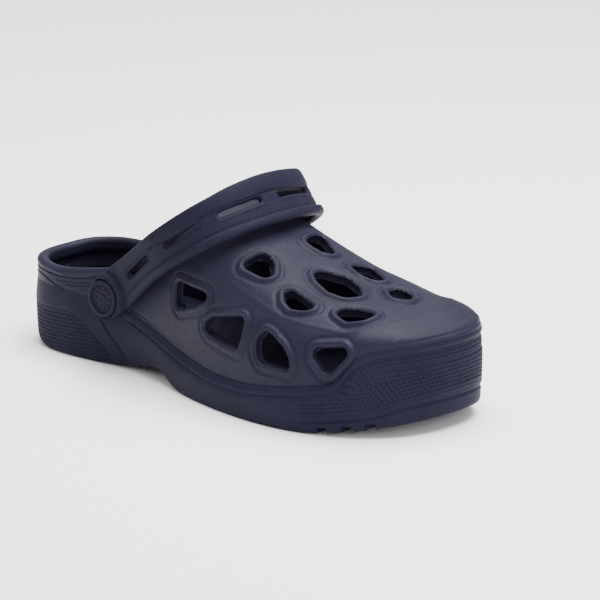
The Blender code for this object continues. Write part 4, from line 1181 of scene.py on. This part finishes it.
def moulded(name, low, high, rough, rough_span, pebble_mm, pebble_bump, fine_bump, gloss):
    """Matte moulded foam or plastic: mottled colour, uneven sheen, pebbled grain over finer grain."""
    m = bpy.data.materials.new(name)
    m.use_nodes = True
    nt = m.node_tree
    b = nt.nodes["Principled BSDF"]
    coords = node(nt, "ShaderNodeTexCoord")
    where = node(nt, "ShaderNodeMapping")
    nt.links.new(coords.outputs["Object"], where.inputs["Vector"])
    mottle = node(nt, "ShaderNodeTexNoise")
    mottle.inputs["Scale"].default_value = 38
    mottle.inputs["Detail"].default_value = 6
    mottle.inputs["Roughness"].default_value = 0.62
    nt.links.new(where.outputs["Vector"], mottle.inputs["Vector"])
    ramp = node(nt, "ShaderNodeValToRGB")
    ramp.color_ramp.elements[0].position = 0.3
    ramp.color_ramp.elements[0].color = (*low, 1)
    ramp.color_ramp.elements[1].position = 0.72
    ramp.color_ramp.elements[1].color = (*high, 1)
    nt.links.new(mottle.outputs["Fac"], ramp.inputs["Fac"])
    nt.links.new(ramp.outputs["Color"], b.inputs["Base Color"])
    sheen = node(nt, "ShaderNodeTexNoise")
    sheen.inputs["Scale"].default_value = 420
    sheen.inputs["Detail"].default_value = 3
    nt.links.new(where.outputs["Vector"], sheen.inputs["Vector"])
    span = node(nt, "ShaderNodeMapRange")
    span.inputs["To Min"].default_value = rough - rough_span
    span.inputs["To Max"].default_value = rough + rough_span
    nt.links.new(sheen.outputs["Fac"], span.inputs["Value"])
    nt.links.new(span.outputs["Result"], b.inputs["Roughness"])
    pebble = node(nt, "ShaderNodeTexVoronoi")
    pebble.feature = "SMOOTH_F1"
    pebble.inputs["Scale"].default_value = 1000 / pebble_mm
    pebble.inputs["Smoothness"].default_value = 0.6
    nt.links.new(where.outputs["Vector"], pebble.inputs["Vector"])
    grain = node(nt, "ShaderNodeTexNoise")
    grain.inputs["Scale"].default_value = 2600
    grain.inputs["Detail"].default_value = 4
    nt.links.new(where.outputs["Vector"], grain.inputs["Vector"])
    first = node(nt, "ShaderNodeBump")
    first.invert = True
    first.inputs["Strength"].default_value = pebble_bump
    first.inputs["Distance"].default_value = 0.0004
    nt.links.new(pebble.outputs["Distance"], first.inputs["Height"])
    second = node(nt, "ShaderNodeBump")
    second.inputs["Strength"].default_value = fine_bump
    second.inputs["Distance"].default_value = 0.00015
    nt.links.new(grain.outputs["Fac"], second.inputs["Height"])
    nt.links.new(first.outputs["Normal"], second.inputs["Normal"])
    nt.links.new(second.outputs["Normal"], b.inputs["Normal"])
    b.inputs["Specular IOR Level"].default_value = gloss
    return m


BODY = moulded("navy_foam", (0.0100, 0.0090, 0.0195), (0.0150, 0.0136, 0.0285), 0.47, 0.08, 0.9, 0.34, 0.22, 0.08)
# sole: the body's navy foam, painted a little darker as painted shade on the lower wall
SOLE_PAINTED_SHADE = moulded("navy_foam_sole_painted_shade", (0.0084, 0.0076, 0.0180), (0.0124, 0.0113, 0.0262), 0.54, 0.08, 0.9, 0.28, 0.22, 0.06)
STRAP = moulded("navy_foam_strap", (0.0100, 0.0090, 0.0190), (0.0142, 0.0129, 0.0268), 0.54, 0.08, 0.8, 0.28, 0.20, 0.04)
# footbed: the body's navy foam, painted darker as painted shade inside the clog
FOOTBED_PAINTED_SHADE = moulded("footbed_navy_foam_painted_shade", (0.0080, 0.0073, 0.0160), (0.0115, 0.0106, 0.0225), 0.64, 0.08, 1.1, 0.30, 0.3, 0.03)
PLASTIC = moulded("navy_rivet_plastic", (0.0088, 0.0079, 0.0170), (0.0120, 0.0109, 0.0228), 0.46, 0.06, 0.6, 0.10, 0.16, 0.05)


# ---------------------------------------------------------------- the object
upper = build_upper(BODY)
thin_inside(upper, 196000)
sole = build_sole(SOLE_PAINTED_SHADE)
insole = build_insole(FOOTBED_PAINTED_SHADE)
strap = build_strap(STRAP)
cap_lateral = build_cap("cap_lateral", -1, PLASTIC, "rivet_cap_lateral")
cap_medial = build_cap("cap_medial", 1, PLASTIC, "rivet_cap_medial")
for name in ("rivet_back_lateral", "rivet_back_medial"):
    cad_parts[name].data.materials.clear()
    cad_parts[name].data.materials.append(PLASTIC)

# ---------------------------------------------------------------- floor, light, camera
floor_mat = bpy.data.materials.new("pale_floor")
floor_mat.use_nodes = True
floor_mat.node_tree.nodes["Principled BSDF"].inputs["Base Color"].default_value = (0.96, 0.96, 0.963, 1)
floor_mat.node_tree.nodes["Principled BSDF"].inputs["Roughness"].default_value = 0.85
bpy.ops.mesh.primitive_plane_add(size=14, location=(0, 0, 0))
floor = bpy.context.object
floor.name = "floor"
floor.data.materials.append(floor_mat)
floor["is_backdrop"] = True

world = bpy.data.worlds.new("studio")
bpy.context.scene.world = world
world.use_nodes = True
world.node_tree.nodes["Background"].inputs["Color"].default_value = (1.0, 1.0, 1.0, 1)
world.node_tree.nodes["Background"].inputs["Strength"].default_value = 0.76

AIM = Vector((0.145 - X0 * 0.001, -Y0 * 0.001, 0.045))
RIGHT = Vector((0.7373, 0.6756, 0))
UP_VIEW = Vector((-0.1862, 0.2032, 0.9613))
BACK = Vector((0.6494, -0.7087, 0.2756))


def softbox(name, location, target, size, power, tint=(1, 1, 1)):
    data = bpy.data.lights.new(name, "AREA")
    data.shape = "RECTANGLE"
    data.size, data.size_y = size
    data.energy = power
    data.color = tint
    ob = bpy.data.objects.new(name, data)
    bpy.context.scene.collection.objects.link(ob)
    ob.location = location
    ob.rotation_euler = (Vector(target) - Vector(location)).to_track_quat("-Z", "Y").to_euler()
    return ob


softbox("overhead", (0.10, 0.25, 1.35), (0, 0, 0.04), (1.4, 1.2), 72)
softbox("left_fill", (-1.1, -1.1, 0.75), (0, 0, 0.05), (1.0, 0.9), 3.5)
softbox("toe_fill", (1.35, -0.5, 0.55), (0, 0, 0.05), (0.7, 0.7), 10)

cam_data = bpy.data.cameras.new("view")
cam = bpy.data.objects.new("view", cam_data)
bpy.context.scene.collection.objects.link(cam)
cam_data.lens = 252.8
cam_data.sensor_width = 36
cam_data.clip_start = 0.05
cam_data.clip_end = 50
cam_data.dof.use_dof = False
aim = AIM + RIGHT * 0.0282 - UP_VIEW * 0.0012
cam.location = aim + BACK * 2.289
cam.rotation_euler = (aim - cam.location).to_track_quat("-Z", "Y").to_euler()
bpy.context.scene.camera = cam

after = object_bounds()
{"frame": plain(before), "scene": plain(after)}
